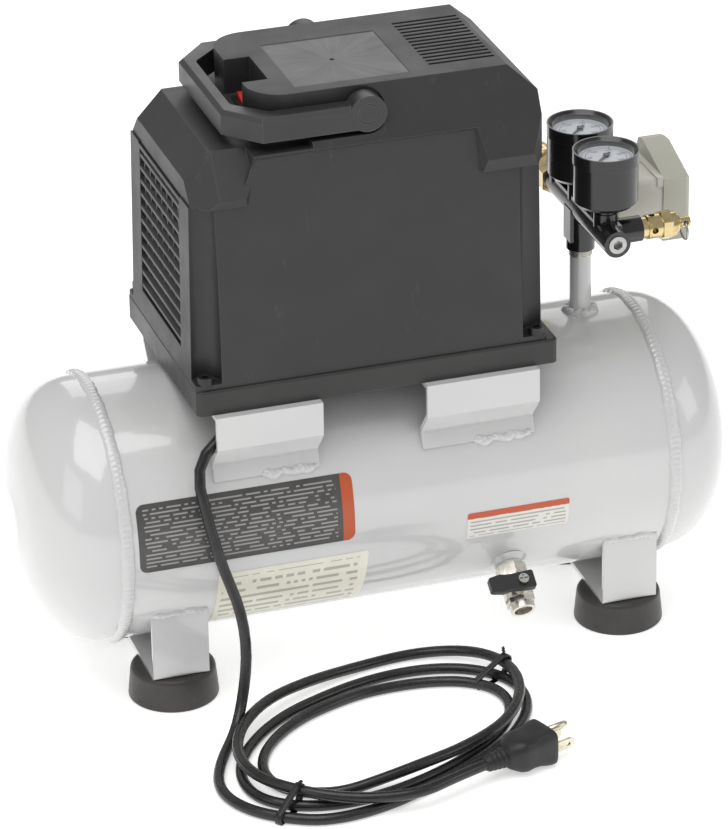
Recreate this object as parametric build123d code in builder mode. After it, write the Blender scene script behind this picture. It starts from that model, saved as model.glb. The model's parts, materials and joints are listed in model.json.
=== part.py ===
"""Small twin-gauge air compressor with a horizontal tank, in millimetres.

X runs along the tank, Y from the front of the machine to its back and Z up.  The shapes are
built in the tank's own frame and finish() moves them to the middle of the footprint.
"""
import math
import os

from build123d import *

# ---------------------------------------------------------------- driving dimensions
# tank
TANK_Y = 7.5  # the tank axis stands behind the middle of the footprint, as the tap reaches forwards
TANK_R = 82.5
TANK_T = 2.0
TANK_Z = 109.5
WELD_X = 175.0
HEAD_DEPTH = 51.7
HEAD_POWER = 2.44
BEAD_W = 9.0
BEAD_H = 2.2
CHECK_X = 60.0
CHECK_R = 6.0
# feet and their brackets
FOOT_X = (-141.3, 150.0)
FOOT_Y = 50.0
FOOT_R_BASE = 28.0
FOOT_R_TOP = 26.0
FOOT_ROUND = 3.2
FOOT_H = 20.5
FOOT_BRACKET_W = 35.4
FOOT_BRACKET_Y = 70.0
FOOT_BRACKET_T = 2.5
FOOT_BOLT_R = 4.0
# base tray and the brackets that carry it
TRAY_X = (-127.6, 99.3)
TRAY_Y = 77.0
TRAY_Z = (197.0, 212.7)
TRAY_T = 2.0
BRACKET_X = ((-117.8, -51.5), (13.8, 85.6))
BRACKET_Y = 82.4
BRACKET_T = 2.8
BRACKET_KINK_Z = 175.5
BRACKET_WAIST = (70.0, 161.1)
BRACKET_LIP = (73.4, 150.5)
BRACKET_FLANGE_Y = 56.0
# motor housing
HOUSING_Z = TRAY_Z[1]
PARTING_Z = 326.0
SHOULDER_Z = 355.0
DECK_Z = 384.5
HOUSING_BASE_X = (-127.4, 93.0)
HOUSING_BASE_Y = 75.0
HOUSING_TOP_X = (-125.0, 91.5)
HOUSING_TOP_Y = 66.6
HOUSING_T = 2.5
TONGUE_GAP = 0.8
TONGUE_Z = 353.8
CORNER_X = (-121.0, 87.0)
CORNER_Y = 71.5
CORNER_R = 10.0
CORNER_TAB_T = 3.0
SCREW_HEAD_R = 4.6
SCREW_R = 2.5
# hood
HOOD_X = (-124.3, 92.2)
HOOD_T = 3.0
HOOD_SKIRT_Y = 77.0
DECK_Y = 52.0
DECK_X = (-80.0, 75.5)
DECK_CORNER_R = 22.0
NOTCH_X = ((-97.0, 58.4), (-86.6, 51.9))
NOTCH_TAPER = 30.0
HOOD_SHOULDER_Y = 68.0
HOOD_LEG_IN_Y = 68.0
LEG_BEVEL = ((74.5, 334.5), (71.0, 326.0))
LEG_CORNER = 5.0
CHANNEL_Z = 358.4
# carry handle
PIVOT_X = -15.0
PIVOT_Z = 371.0
PIVOT_R = 4.0
HANDLE_DISC_R = 11.3
HANDLE_Z = (361.5, 376.3)
HANDLE_X = -99.0
HANDLE_BAR_W = 8.4
HANDLE_Y = (54.4, 66.0)
# rocker switch pocket
POCKET_X = (-90.0, -64.0)
POCKET_Y = (-25.5, 12.5)
POCKET_Z = 362.0
ROCKER_Y = -6.5
ROCKER_X = -71.5
# grille
GRILLE_Y = 45.0
GRILLE_Z = (226.0, 325.0)
GRILLE_RIM = 2.4
SLAT_COUNT = 11
# manifold and instruments
RISER_X = 142.0
RISER_R = 6.85
MANIFOLD_Z = 262.5
MANIFOLD_R = 8.4
MANIFOLD_Y = (-64.0, 42.0)
POST_Z = 234.6
GAUGE_Y = (-43.0, 2.0)
GAUGE_R = 20.5
GAUGE_Z = (282.0, 317.0)
NEEDLE_REST = 135.0
RELIEF_Y = -45.0
RELIEF_X = (163.5, 188.0)
RING_R = 5.8
RING_WIRE = 0.8
OUTLET_Y = 42.0
REGULATOR_Y = 33.0
SWITCH_Y = (-18.0, 28.0)
SWITCH_X = (160.5, 189.5, 207.5)
SWITCH_Z = (238.5, 280.0, 292.3)
# drain valve
DRAIN_X = 70.5
DRAIN_ANGLE = 36.0
DRAIN_BALL_AT = 22.0
BALL_R = 6.0
# motor and pump inside the housing
MOTOR_Z = 270.0
SHAFT_R = 5.0
PUMP_X = -37.0
CRANK_THROW = 8.0
ECCENTRIC_R = 13.5
BIG_END_R = 30.0
PISTON_R = 22.5
# power cord
CORD_R = 3.4
COIL_C = (-46.0, -148.0)
COIL_TILT = 30.0
COIL_OUT = (114.0, 72.0)
COIL_IN = (70.0, 43.0)
COIL_H = 14.0
TIE_ANGLES = (-8.0, 200.0)
TIE_REACH = 0.88
TIE_SPAN = 31.0
TIE_T = 1.2
TIE_W = 4.0
CORD_EXIT = (-62.0, -63.0, 189.0)
CORD_LEAD = [
    CORD_EXIT,
    (-133.0, -72.0, 186.0),
    (-125.0, -92.0, 118.0),
    (-104.0, -93.0, 58.0),
    (-115.0, -108.0, CORD_R),
    (-141.0, -152.0, CORD_R),
]
PLUG_START = (3.0, -217.0, 12.0)
PLUG_TURN = 18.6
CORD_TAIL = [
    (-75.0, -221.0, 9.0),
    (-40.0, -231.5, 11.5),
    PLUG_START,
]

os.makedirs("parts", exist_ok=True)


# ---------------------------------------------------------------- small building helpers
def block(x0, x1, y0, y1, z0, z1, mode=Mode.ADD):
    """Axis-aligned box between two corners, in the part that is being built."""
    with Locations(((x0 + x1) / 2, (y0 + y1) / 2, (z0 + z1) / 2)):
        Box(x1 - x0, y1 - y0, z1 - z0, mode=mode)


def rod(start, direction, radius, length, mode=Mode.ADD):
    """Cylinder that grows from start along direction."""
    with Locations(Plane(origin=start, z_dir=direction)):
        Cylinder(radius, length, align=(Align.CENTER, Align.CENTER, Align.MIN), mode=mode)


def taper_rod(start, direction, radius0, radius1, length, mode=Mode.ADD):
    """Cone that grows from start along direction."""
    with Locations(Plane(origin=start, z_dir=direction)):
        Cone(radius0, radius1, length, align=(Align.CENTER, Align.CENTER, Align.MIN), mode=mode)


def hex_rod(start, direction, across_flats, length, mode=Mode.ADD, turn=0.0):
    """Hexagonal bar that grows from start along direction."""
    with BuildSketch(Plane(origin=start, z_dir=direction)) as outline:
        RegularPolygon(across_flats / 2, 6, major_radius=False, rotation=turn)
    extrude(outline.sketch, amount=length, mode=mode)


def prism(plane, points, length, mode=Mode.ADD):
    """Polygon on a plane, extruded along the plane's normal."""
    with BuildSketch(plane) as outline:
        with BuildLine():
            Polyline(*points, close=True)
        make_face()
    extrude(outline.sketch, amount=length, mode=mode)


def prism_along_x(points, x0, x1, mode=Mode.ADD):
    """Polygon of (y, z) points between two x positions."""
    prism(Plane.YZ.offset(x0), points, x1 - x0, mode)


def prism_along_y(points, y0, y1, mode=Mode.ADD):
    """Polygon of (x, z) points between two y positions."""
    prism(Plane.XZ.offset(-y1), points, y1 - y0, mode)


def prism_along_z(points, z0, z1, mode=Mode.ADD):
    """Polygon of (x, y) points between two z positions."""
    prism(Plane.XY.offset(z0), points, z1 - z0, mode)


def finish(builder, name):
    """Move a finished part from the tank's own frame to the part's frame, and write it out."""
    placed = Pos(0, TANK_Y, 0) * builder.part
    placed.label = name
    export_step(placed, f"parts/{name}.step")


# ---------------------------------------------------------------- tank
TANK_AXIS = Axis((0, 0, TANK_Z), (1, 0, 0))


def head_profile(radius, depth, x0):
    """Points of a dished head, from the girth weld to the pole."""
    steps = [0.0, 0.2, 0.4, 0.55, 0.68, 0.79, 0.88, 0.945, 0.985, 1.0]
    return [(x0 + depth * k, TANK_Z + radius * (1 - k**HEAD_POWER) ** (1 / HEAD_POWER)) for k in steps]


def drain_point(distance):
    """Point on the drain valve's axis, measured outwards from the tank wall."""
    a = math.radians(DRAIN_ANGLE)
    r = TANK_R + distance
    return (DRAIN_X, -r * math.cos(a), TANK_Z - r * math.sin(a))


DRAIN_DIR = (0, -math.cos(math.radians(DRAIN_ANGLE)), -math.sin(math.radians(DRAIN_ANGLE)))
DRAIN_UP = (0, -math.sin(math.radians(DRAIN_ANGLE)), math.cos(math.radians(DRAIN_ANGLE)))

with BuildPart() as tank_shell:
    rod((-WELD_X, 0, TANK_Z), (1, 0, 0), TANK_R, 2 * WELD_X)
    rod((-WELD_X, 0, TANK_Z), (1, 0, 0), TANK_R - TANK_T, 2 * WELD_X, Mode.SUBTRACT)
    rod((RISER_X, 0, TANK_Z + TANK_R - 8), (0, 0, 1), RISER_R, 20, Mode.SUBTRACT)
    rod((CHECK_X, 0, TANK_Z + TANK_R - 8), (0, 0, 1), CHECK_R, 20, Mode.SUBTRACT)
    rod(drain_point(-8), DRAIN_DIR, 8.0, 20, Mode.SUBTRACT)
finish(tank_shell, "tank_shell")


def make_head(name, side):
    """Dished tank end, a thin shell of revolution; side is -1 left or +1 right."""
    with BuildPart() as head:
        outer = head_profile(TANK_R, HEAD_DEPTH, WELD_X)
        inner = head_profile(TANK_R - TANK_T, HEAD_DEPTH - TANK_T, WELD_X)
        with BuildSketch(Plane.XZ):
            with BuildLine():
                Spline(*outer, tangents=((1, 0), (0, -1)))
                Line(outer[-1], inner[-1])
                Spline(*reversed(inner), tangents=((0, 1), (-1, 0)))
                Line(inner[0], outer[0])
            make_face()
        revolve(axis=TANK_AXIS)
        if side < 0:
            mirror(about=Plane.YZ, mode=Mode.REPLACE)
    finish(head, name)
    return head


tank_head_left = make_head("tank_head_left", -1)
tank_head_right = make_head("tank_head_right", 1)

with BuildPart() as girth_welds:
    for weld_x in (-WELD_X, WELD_X):
        with BuildSketch(Plane.XZ):
            with BuildLine():
                ThreePointArc(
                    (weld_x - BEAD_W / 2, TANK_Z + TANK_R - 0.3),
                    (weld_x, TANK_Z + TANK_R + BEAD_H),
                    (weld_x + BEAD_W / 2, TANK_Z + TANK_R - 0.3),
                )
                Line(
                    (weld_x + BEAD_W / 2, TANK_Z + TANK_R - 0.3),
                    (weld_x - BEAD_W / 2, TANK_Z + TANK_R - 0.3),
                )
            make_face()
        revolve(axis=TANK_AXIS)
    add(tank_shell.part, mode=Mode.SUBTRACT)
    add(tank_head_left.part, mode=Mode.SUBTRACT)
    add(tank_head_right.part, mode=Mode.SUBTRACT)
finish(girth_welds, "girth_welds")

with BuildPart() as tank_fittings:
    riser_foot = TANK_Z + TANK_R - 4.0
    rod((RISER_X, 0, riser_foot), (0, 0, 1), RISER_R, POST_Z + 10.0 - riser_foot)
    rod((RISER_X, 0, riser_foot), (0, 0, 1), RISER_R - 2.2, POST_Z + 10.0 - riser_foot, Mode.SUBTRACT)
    # weld collar where the pipe leaves the tank
    with Locations((RISER_X, 0, TANK_Z + TANK_R - 1.0)):
        Cone(RISER_R + 4.5, RISER_R, 4.5, align=(Align.CENTER, Align.CENTER, Align.MIN))
    rod((RISER_X, 0, riser_foot - 1), (0, 0, 1), RISER_R - 2.2, 20.0, Mode.SUBTRACT)
    # threaded bung for the drain valve, low on the front of the tank
    rod(drain_point(-5), DRAIN_DIR, 8.0, 9.5)
    taper_rod(drain_point(-0.6), DRAIN_DIR, 12.0, 9.0, 3.4)
    rod(drain_point(-6), DRAIN_DIR, 5.2, 20, Mode.SUBTRACT)
    rod((-WELD_X, 0, TANK_Z), (1, 0, 0), TANK_R - TANK_T - 4, 2 * WELD_X, Mode.SUBTRACT)
    add(tank_shell.part, mode=Mode.SUBTRACT)
finish(tank_fittings, "tank_fittings")

# ---------------------------------------------------------------- brackets and feet
def make_tray_bracket(name, side):
    """Pair of bent plates that carry the tray on one side; side is -1 front or +1 back."""
    top, under = TRAY_Z[0], TRAY_Z[0] - BRACKET_T
    outer, inner = BRACKET_Y, BRACKET_Y - BRACKET_T
    waist_y, waist_z = BRACKET_WAIST
    lip_y, lip_z = BRACKET_LIP
    half = [
        (BRACKET_FLANGE_Y, top),
        (outer, top),
        (outer, BRACKET_KINK_Z),
        (waist_y, waist_z),
        (lip_y, lip_z),
        (lip_y - BRACKET_T, lip_z - 1.0),
        (waist_y - BRACKET_T - 0.6, waist_z + 0.4),
        (inner, BRACKET_KINK_Z + 1.2),
        (inner, under),
        (BRACKET_FLANGE_Y, under),
    ]
    with BuildPart() as bracket:
        for x0, x1 in BRACKET_X:
            prism_along_x([(side * y, z) for y, z in half], x0, x1)
        rod((-WELD_X, 0, TANK_Z), (1, 0, 0), TANK_R, 2 * WELD_X, Mode.SUBTRACT)
    finish(bracket, name)
    return bracket


bracket_front = make_tray_bracket("bracket_front", -1)
bracket_back = make_tray_bracket("bracket_back", 1)


def make_foot_bracket(name, x):
    """Channel under the tank: front and back plates joined by a floor that holds two feet."""
    with BuildPart() as bracket:
        half = FOOT_BRACKET_W / 2
        block(x - half, x + half, -FOOT_BRACKET_Y, FOOT_BRACKET_Y, FOOT_H, 76.0)
        inside = FOOT_BRACKET_Y - FOOT_BRACKET_T
        block(x - half - 1, x + half + 1, -inside, inside, FOOT_H + FOOT_BRACKET_T, 80.0, Mode.SUBTRACT)
        edges = bracket.edges().filter_by(Axis.X).group_by(Axis.Z)[0]
        fillet(edges, 2.0)
        rod((-300, 0, TANK_Z), (1, 0, 0), TANK_R, 600, Mode.SUBTRACT)
        for y in (-FOOT_Y, FOOT_Y):
            rod((x, y, FOOT_H - 1), (0, 0, 1), FOOT_BOLT_R, 10, Mode.SUBTRACT)
    finish(bracket, name)
    return bracket


foot_bracket_left = make_foot_bracket("foot_bracket_left", FOOT_X[0])
foot_bracket_right = make_foot_bracket("foot_bracket_right", FOOT_X[1])


def make_foot(name, x, y):
    """Rubber cone foot with a screw recess in its underside."""
    with BuildPart() as foot:
        taper_rod((x, y, 0), (0, 0, 1), FOOT_R_BASE, FOOT_R_TOP, FOOT_H)
        fillet(foot.edges().filter_by(GeomType.CIRCLE).group_by(Axis.Z)[-1], FOOT_ROUND)
        fillet(foot.edges().filter_by(GeomType.CIRCLE).group_by(Axis.Z)[0], 1.2)
        rod((x, y, -1), (0, 0, 1), 9.0, 9.0, Mode.SUBTRACT)
        rod((x, y, 0), (0, 0, 1), FOOT_BOLT_R, 30, Mode.SUBTRACT)
    finish(foot, name)
    return foot


make_foot("foot_front_left", FOOT_X[0], -FOOT_Y)
make_foot("foot_front_right", FOOT_X[1], -FOOT_Y)
make_foot("foot_back_left", FOOT_X[0], FOOT_Y)
make_foot("foot_back_right", FOOT_X[1], FOOT_Y)

with BuildPart() as foot_bolts:
    for bolt_x in FOOT_X:
        for bolt_y in (-FOOT_Y, FOOT_Y):
            rod((bolt_x, bolt_y, 4.0), (0, 0, 1), 7.5, 4.0)
            rod((bolt_x, bolt_y, 4.0), (0, 0, 1), FOOT_BOLT_R, FOOT_H + FOOT_BRACKET_T - 1.0)
            hex_rod((bolt_x, bolt_y, FOOT_H + FOOT_BRACKET_T), (0, 0, 1), 13.0, 5.0)
            hex_rod((bolt_x, bolt_y, 3.0), (0, 0, 1), 5.0, 2.5, Mode.SUBTRACT)
finish(foot_bolts, "foot_bolts")

# ---------------------------------------------------------------- tray under the housing
with BuildPart() as base_tray:
    block(TRAY_X[0], TRAY_X[1], -TRAY_Y, TRAY_Y, TRAY_Z[0], TRAY_Z[1])
    fillet(base_tray.edges().filter_by(Axis.Z), 4.0)
    fillet(base_tray.faces().sort_by(Axis.Z)[-1].edges(), 1.5)
    t = TRAY_T
    block(TRAY_X[0] + t, TRAY_X[1] - t, -TRAY_Y + t, TRAY_Y - t, TRAY_Z[0] - 1, TRAY_Z[1] - t, Mode.SUBTRACT)
    for screw_x in CORNER_X:
        for screw_y in (-CORNER_Y, CORNER_Y):
            rod((screw_x, screw_y, TRAY_Z[0]), (0, 0, 1), SCREW_R, 30, Mode.SUBTRACT)
    rod((CHECK_X, 0, TRAY_Z[0]), (0, 0, 1), 9.0, 30, Mode.SUBTRACT)
finish(base_tray, "base_tray")


# ---------------------------------------------------------------- lower housing
def housing_body(inset, top_z):
    """Tapered box of the lower housing, shrunk by inset on every side."""
    sections = []
    for z, (x0, x1), y in (
        (HOUSING_Z, HOUSING_BASE_X, HOUSING_BASE_Y),
        (SHOULDER_Z, HOUSING_TOP_X, HOUSING_TOP_Y),
    ):
        with BuildSketch(Plane.XY.offset(z)) as section:
            with Locations(((x0 + x1) / 2, 0)):
                Rectangle(x1 - x0 - 2 * inset, 2 * (y - inset))
        sections.append(section.sketch)
    loft(sections)
    block(-200, 200, -100, 100, top_z, 500, Mode.SUBTRACT)


def corner_grooves(radius, z0, z1, mode):
    """Upright round grooves at the four corners of the housing."""
    for x in CORNER_X:
        for y in (-CORNER_Y, CORNER_Y):
            rod((x, y, z0), (0, 0, 1), radius, z1 - z0, mode)


with BuildPart(mode=Mode.PRIVATE) as housing_core:
    housing_body(HOUSING_T, SHOULDER_Z + 1)
    corner_grooves(CORNER_R + HOUSING_T, HOUSING_Z - 1, 500, Mode.SUBTRACT)

with BuildPart() as housing:
    housing_body(0.0, SHOULDER_Z + 1)
    fillet(housing.edges().filter_by(lambda e: abs(e.tangent_at(0.5).Z) > 0.9), 2.5)
    corner_grooves(CORNER_R, HOUSING_Z + CORNER_TAB_T, 500, Mode.SUBTRACT)
    add(housing_core.part, mode=Mode.SUBTRACT)
    # everything above the parting line goes, apart from the tongues behind the hood's notches
    prism_along_y(
        [(-200, PARTING_Z), (200, PARTING_Z), (200, 400), (-200, 400)], -60.0, 60.0, Mode.SUBTRACT
    )
    for y0, y1 in ((-90.0, -60.0), (60.0, 90.0)):
        for end, sign in ((0, 1), (1, -1)):
            low_x, high_x = NOTCH_X[0][end] + sign * TONGUE_GAP, NOTCH_X[1][end] + sign * TONGUE_GAP
            beside = [
                (-sign * 200, PARTING_Z), (low_x, PARTING_Z), (high_x, TONGUE_Z),
                (high_x, 400), (-sign * 200, 400),
            ]
            prism_along_y(beside, y0, y1, Mode.SUBTRACT)
        block(-200, 200, y0, y1, TONGUE_Z, 400, Mode.SUBTRACT)
    block(-140, -110, -GRILLE_Y, GRILLE_Y, GRILLE_Z[0], PARTING_Z + 1, Mode.SUBTRACT)
    for screw_x in CORNER_X:
        for screw_y in (-CORNER_Y, CORNER_Y):
            rod((screw_x, screw_y, HOUSING_Z - 1), (0, 0, 1), SCREW_R, 10, Mode.SUBTRACT)
finish(housing, "housing")

with BuildPart() as housing_screws:
    for screw_x in CORNER_X:
        for screw_y in (-CORNER_Y, CORNER_Y):
            seat = HOUSING_Z + CORNER_TAB_T
            rod((screw_x, screw_y, HOUSING_Z - 9), (0, 0, 1), SCREW_R, 9 + CORNER_TAB_T)
            rod((screw_x, screw_y, seat), (0, 0, 1), SCREW_HEAD_R, 5.0)
            hex_rod((screw_x, screw_y, seat + 2.2), (0, 0, 1), 4.0, 4.0, Mode.SUBTRACT)
finish(housing_screws, "housing_screws")

# ---------------------------------------------------------------- inlet grille on the left end
with BuildPart() as inlet_grille:
    lean = (HOUSING_TOP_X[0] - HOUSING_BASE_X[0]) / (SHOULDER_Z - HOUSING_Z)
    face0 = HOUSING_BASE_X[0] + lean * (GRILLE_Z[0] - HOUSING_Z)
    face1 = HOUSING_BASE_X[0] + lean * (GRILLE_Z[1] - HOUSING_Z)
    rim_y, rim_z = GRILLE_Y - GRILLE_RIM, (GRILLE_Z[0] + GRILLE_RIM, GRILLE_Z[1] - GRILLE_RIM)
    prism_along_y(
        [(face0, GRILLE_Z[0]), (face1, GRILLE_Z[1]), (face1 + 4.0, GRILLE_Z[1]), (face0 + 4.0, GRILLE_Z[0])],
        -GRILLE_Y, GRILLE_Y,
    )
    block(-140, -110, -rim_y, rim_y, rim_z[0], rim_z[1], Mode.SUBTRACT)
    pitch = (rim_z[1] - rim_z[0]) / SLAT_COUNT
    for i in range(SLAT_COUNT):
        z = rim_z[0] + pitch * (i + 0.5)
        x = HOUSING_BASE_X[0] + lean * (z - HOUSING_Z)
        slat = [(x + 0.2, z - 1.1), (x + 3.8, z + 1.3), (x + 3.8, z + 3.1), (x + 0.2, z + 1.0)]
        prism_along_y(slat, -rim_y - 0.5, rim_y + 0.5)
    for y in (-36.0, -24.0, -12.0, 0.0, 12.0, 24.0, 36.0):
        block(face0 + 2.8, face0 + 6.0, y - 0.8, y + 0.8, GRILLE_Z[0] + 1, GRILLE_Z[1] - 1)
finish(inlet_grille, "inlet_grille")


# ---------------------------------------------------------------- hood
def slope_profile(inset, top_y):
    """Half of the hood's front-to-back section as (y, z) points, shrunk by inset."""
    low = HOOD_LEG_IN_Y if inset else HOOD_SKIRT_Y
    return [(low, PARTING_Z - 3.0), (low, PARTING_Z + 0.5), (top_y - inset, SHOULDER_Z - inset)]


def cut_notch(side):
    """Cut the tapered opening that shows the top of the housing; side is -1 front or +1 back."""
    rise, run = SHOULDER_Z - PARTING_Z - 0.5, HOOD_SKIRT_Y - HOOD_SHOULDER_Y
    slant = math.hypot(rise, run)
    inwards = Vector(0, -side * rise, -run).normalized()
    origin = Vector(0, side * HOOD_SKIRT_Y, PARTING_Z + 0.5) - inwards
    (x0, x1), (x2, x3) = NOTCH_X
    top = slant - 0.5
    outline = [(x0, -30.0), (x0, 0.0), (x2, top), (x3, top), (x1, 0.0), (x1, -30.0)]
    with BuildSketch(Plane(origin=origin, x_dir=(1, 0, 0), z_dir=inwards)) as opening:
        with BuildLine():
            Polyline(*[(x, side * up) for x, up in outline], close=True)
        make_face()
    extrude(opening.sketch, amount=12.0, taper=NOTCH_TAPER, mode=Mode.SUBTRACT)


def hood_solid(inset):
    """Outer shape of the hood, or its hollow when inset is the wall."""
    x0, x1 = HOOD_X[0] + inset, HOOD_X[1] - inset
    # shoulder on the left
    half = slope_profile(inset, 51.5)
    ring = [(-y, z) for y, z in half] + [(y, z) for y, z in reversed(half)]
    prism_along_x(ring, x0, x1 - 40)
    # main body with the steep front and back slopes
    half = slope_profile(inset, HOOD_SHOULDER_Y)
    if inset == 0:
        half = half + [(DECK_Y, DECK_Z)]
    ring = [(-y, z) for y, z in half] + [(y, z) for y, z in reversed(half)]
    prism_along_x(ring, NOTCH_X[1][0] + inset, x1)


def deck_outline(inset, z0, z1, mode):
    """Raised deck with two large rounded corners at its left end."""
    with BuildSketch(Plane.XY.offset(z0)) as deck_sketch:
        with Locations(((DECK_X[0] + HOOD_X[1]) / 2, 0)):
            Rectangle(HOOD_X[1] - DECK_X[0] - 2 * inset, 2 * (DECK_Y - inset))
        fillet(deck_sketch.vertices().group_by(Axis.X)[0], DECK_CORNER_R - inset)
    extrude(deck_sketch.sketch, amount=z1 - z0, mode=mode)


def corner_facet(side, inset):
    """Cut one of the big facets across the left corners of the hood."""
    normal = Vector(-0.593, side * 0.585, 0.553).normalized()
    origin = Vector(-108.8, side * 50.5, SHOULDER_Z) - normal * inset
    with Locations(Plane(origin=origin, z_dir=normal)):
        Box(120, 120, 60, align=(Align.CENTER, Align.CENTER, Align.MIN), mode=Mode.SUBTRACT)


with BuildPart(mode=Mode.PRIVATE) as hood_hollow:
    hood_solid(HOOD_T)
    deck_outline(HOOD_T, SHOULDER_Z - 10, DECK_Z - HOOD_T, Mode.ADD)
    end = [
        (HOOD_X[0] + HOOD_T, 300), (HOOD_X[0] + HOOD_T, 337.4), (-107.5, SHOULDER_Z - HOOD_T),
        (-90, SHOULDER_Z - HOOD_T), (-90, 400), (DECK_X[1] - 1.2, 400), (DECK_X[1] - 1.2, DECK_Z - HOOD_T),
        (HOOD_X[1] - HOOD_T - 0.5, 368.4), (HOOD_X[1] - HOOD_T, 300),
    ]
    prism_along_y(end, -90, 90, Mode.INTERSECT)
    for side in (-1, 1):
        corner_facet(side, HOOD_T)
    # the walls and floor of the switch pocket stay solid
    wall = 2.5
    wall_y = (POCKET_Y[0] - wall, POCKET_Y[1] + wall)
    block(POCKET_X[0], POCKET_X[1] + wall, wall_y[0], wall_y[1], POCKET_Z - wall, 400, Mode.SUBTRACT)

with BuildPart() as hood:
    hood_solid(0.0)
    left_of_pivot = [
        (-90, -100), (PIVOT_X, -100), (PIVOT_X, -DECK_Y), (-90, -DECK_Y),
    ]
    # channels beside the deck that take the folded handle
    prism_along_z(left_of_pivot, CHANNEL_Z, 400, Mode.SUBTRACT)
    prism_along_z([(x, -y) for x, y in left_of_pivot], CHANNEL_Z, 400, Mode.SUBTRACT)
    for y0, y1 in ((-100, -DECK_Y), (DECK_Y, 100)):
        rod((PIVOT_X, y0, PIVOT_Z), (0, 1, 0), HANDLE_DISC_R + 1.3, y1 - y0, Mode.SUBTRACT)
    # rounded left end of the deck
    with BuildSketch(Plane.XY.offset(SHOULDER_Z)) as corner_cut:
        with Locations((-90, 0)):
            Rectangle(80, 2 * DECK_Y + 40)
        with BuildSketch(Plane.XY.offset(SHOULDER_Z), mode=Mode.SUBTRACT) as keep:
            with Locations((DECK_X[0] + 60, 0)):
                Rectangle(120, 2 * DECK_Y)
            fillet(keep.vertices().group_by(Axis.X)[0], DECK_CORNER_R)
    extrude(amount=60, mode=Mode.SUBTRACT)
    # end profile: facet and shoulder on the left, facet on the right
    end = [
        (HOOD_X[0], PARTING_Z), (HOOD_X[0], 338.7), (-108.8, SHOULDER_Z), (-95, SHOULDER_Z), (-95, 400),
        (60, 400), (DECK_X[1] - 14.9, 400), (DECK_X[1], DECK_Z), (91.8, 369.7), (HOOD_X[1], PARTING_Z),
    ]
    prism_along_y(end, -90, 90, Mode.INTERSECT)
    # big facets across the left corners
    for side in (-1, 1):
        corner_facet(side, 0.0)
        for x, sign in ((HOOD_X[0], 1), (HOOD_X[1], -1)):
            corner = [
                (x - sign, side * 100), (x + sign * 10.0, side * 100),
                (x + sign * 10.0, side * HOOD_SKIRT_Y), (x - sign, side * 66.0),
            ]
            prism_along_z(corner, 300, 420, Mode.SUBTRACT)
    add(hood_hollow.part, mode=Mode.SUBTRACT)
    # notches that show the top of the housing
    for side in (-1, 1):
        cut_notch(side)
        # bevel along the lower edge of the legs, and their outer corners
        (face_y, face_z), (edge_y, edge_z) = LEG_BEVEL
        bevel = [(face_y, face_z), (edge_y, edge_z), (edge_y, 320), (100, 320), (100, face_z)]
        prism_along_x([(side * y, z) for y, z in bevel], -200, 200, Mode.SUBTRACT)
        for x, sign in ((HOOD_X[0], 1), (HOOD_X[1], -1)):
            clip = [
                (x - sign, PARTING_Z - 1), (x + sign * LEG_CORNER, PARTING_Z - 1),
                (x - sign, PARTING_Z + LEG_CORNER),
            ]
            prism_along_y(clip, min(side * 64, side * 90), max(side * 64, side * 90), Mode.SUBTRACT)
    # switch pocket, open to the left
    block(POCKET_X[0], POCKET_X[1], POCKET_Y[0], POCKET_Y[1], POCKET_Z, 400, Mode.SUBTRACT)
    # sunk panel and cooling slots in the deck
    block(-53, 18, -43, 27, DECK_Z - 0.35, 400, Mode.SUBTRACT)
    rod((-19, -8, DECK_Z - 1.8), (0, 0, 1), 1.4, 10, Mode.SUBTRACT)
    for i in range(14):
        y = -36.0 + 5.3 * i
        block(32.0, 73.2, y - 1.3, y + 1.3, DECK_Z - 10, 400, Mode.SUBTRACT)
    # pivot holes for the handle
    rod((PIVOT_X, -60, PIVOT_Z), (0, 1, 0), PIVOT_R, 120, Mode.SUBTRACT)
    # opening for the rocker switch in the pocket floor
    block(ROCKER_X - 5.2, ROCKER_X + 5.2, ROCKER_Y - 10.2, ROCKER_Y + 10.2, 340, 400, Mode.SUBTRACT)
    # nothing of the hood reaches into the housing below
    add(housing.part, mode=Mode.SUBTRACT)
finish(hood, "hood")

# ---------------------------------------------------------------- carry handle
with BuildPart() as handle:
    outer_y, inner_y = HANDLE_Y[1], HANDLE_Y[0]
    bar_in = HANDLE_X + HANDLE_BAR_W
    outline = [
        (PIVOT_X, -outer_y), (-80.0, -outer_y), (HANDLE_X, -44.0),
        (HANDLE_X, 44.0), (-80.0, outer_y), (PIVOT_X, outer_y),
    ]
    prism_along_z(outline, HANDLE_Z[0], HANDLE_Z[1])
    top_edges = handle.faces().sort_by(Axis.Z)[-1].edges().filter_by(lambda e: e.center().X < PIVOT_X - 1)
    chamfer(top_edges, 2.6)
    for side in (-1, 1):
        rod((PIVOT_X, side * inner_y, PIVOT_Z), (0, side, 0), HANDLE_DISC_R, outer_y - inner_y)
    with BuildSketch(Plane.XY.offset(HANDLE_Z[0] - 5)) as inside:
        with BuildLine():
            Polyline(
                (20, -inner_y), (-72.0, -inner_y), (bar_in, -36.0), (bar_in, 36.0),
                (-72.0, inner_y), (20, inner_y), close=True,
            )
        make_face()
        fillet(inside.vertices().group_by(Axis.X)[0], 6.0)
    extrude(inside.sketch, amount=40, mode=Mode.SUBTRACT)
    rod((PIVOT_X, -90, PIVOT_Z), (0, 1, 0), PIVOT_R + 0.05, 180, Mode.SUBTRACT)
    for side in (-1, 1):
        rod((PIVOT_X, side * (outer_y - 2.0), PIVOT_Z), (0, side, 0), 6.2, 10, Mode.SUBTRACT)
finish(handle, "handle")

with BuildPart() as handle_pins:
    for side in (-1, 1):
        start = DECK_Y - HOOD_T
        rod((PIVOT_X, side * start, PIVOT_Z), (0, side, 0), PIVOT_R, HANDLE_Y[1] - 1.9 - start)
        rod((PIVOT_X, side * (HANDLE_Y[1] - 1.9), PIVOT_Z), (0, side, 0), 6.0, 1.8)
finish(handle_pins, "handle_pins")

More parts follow.
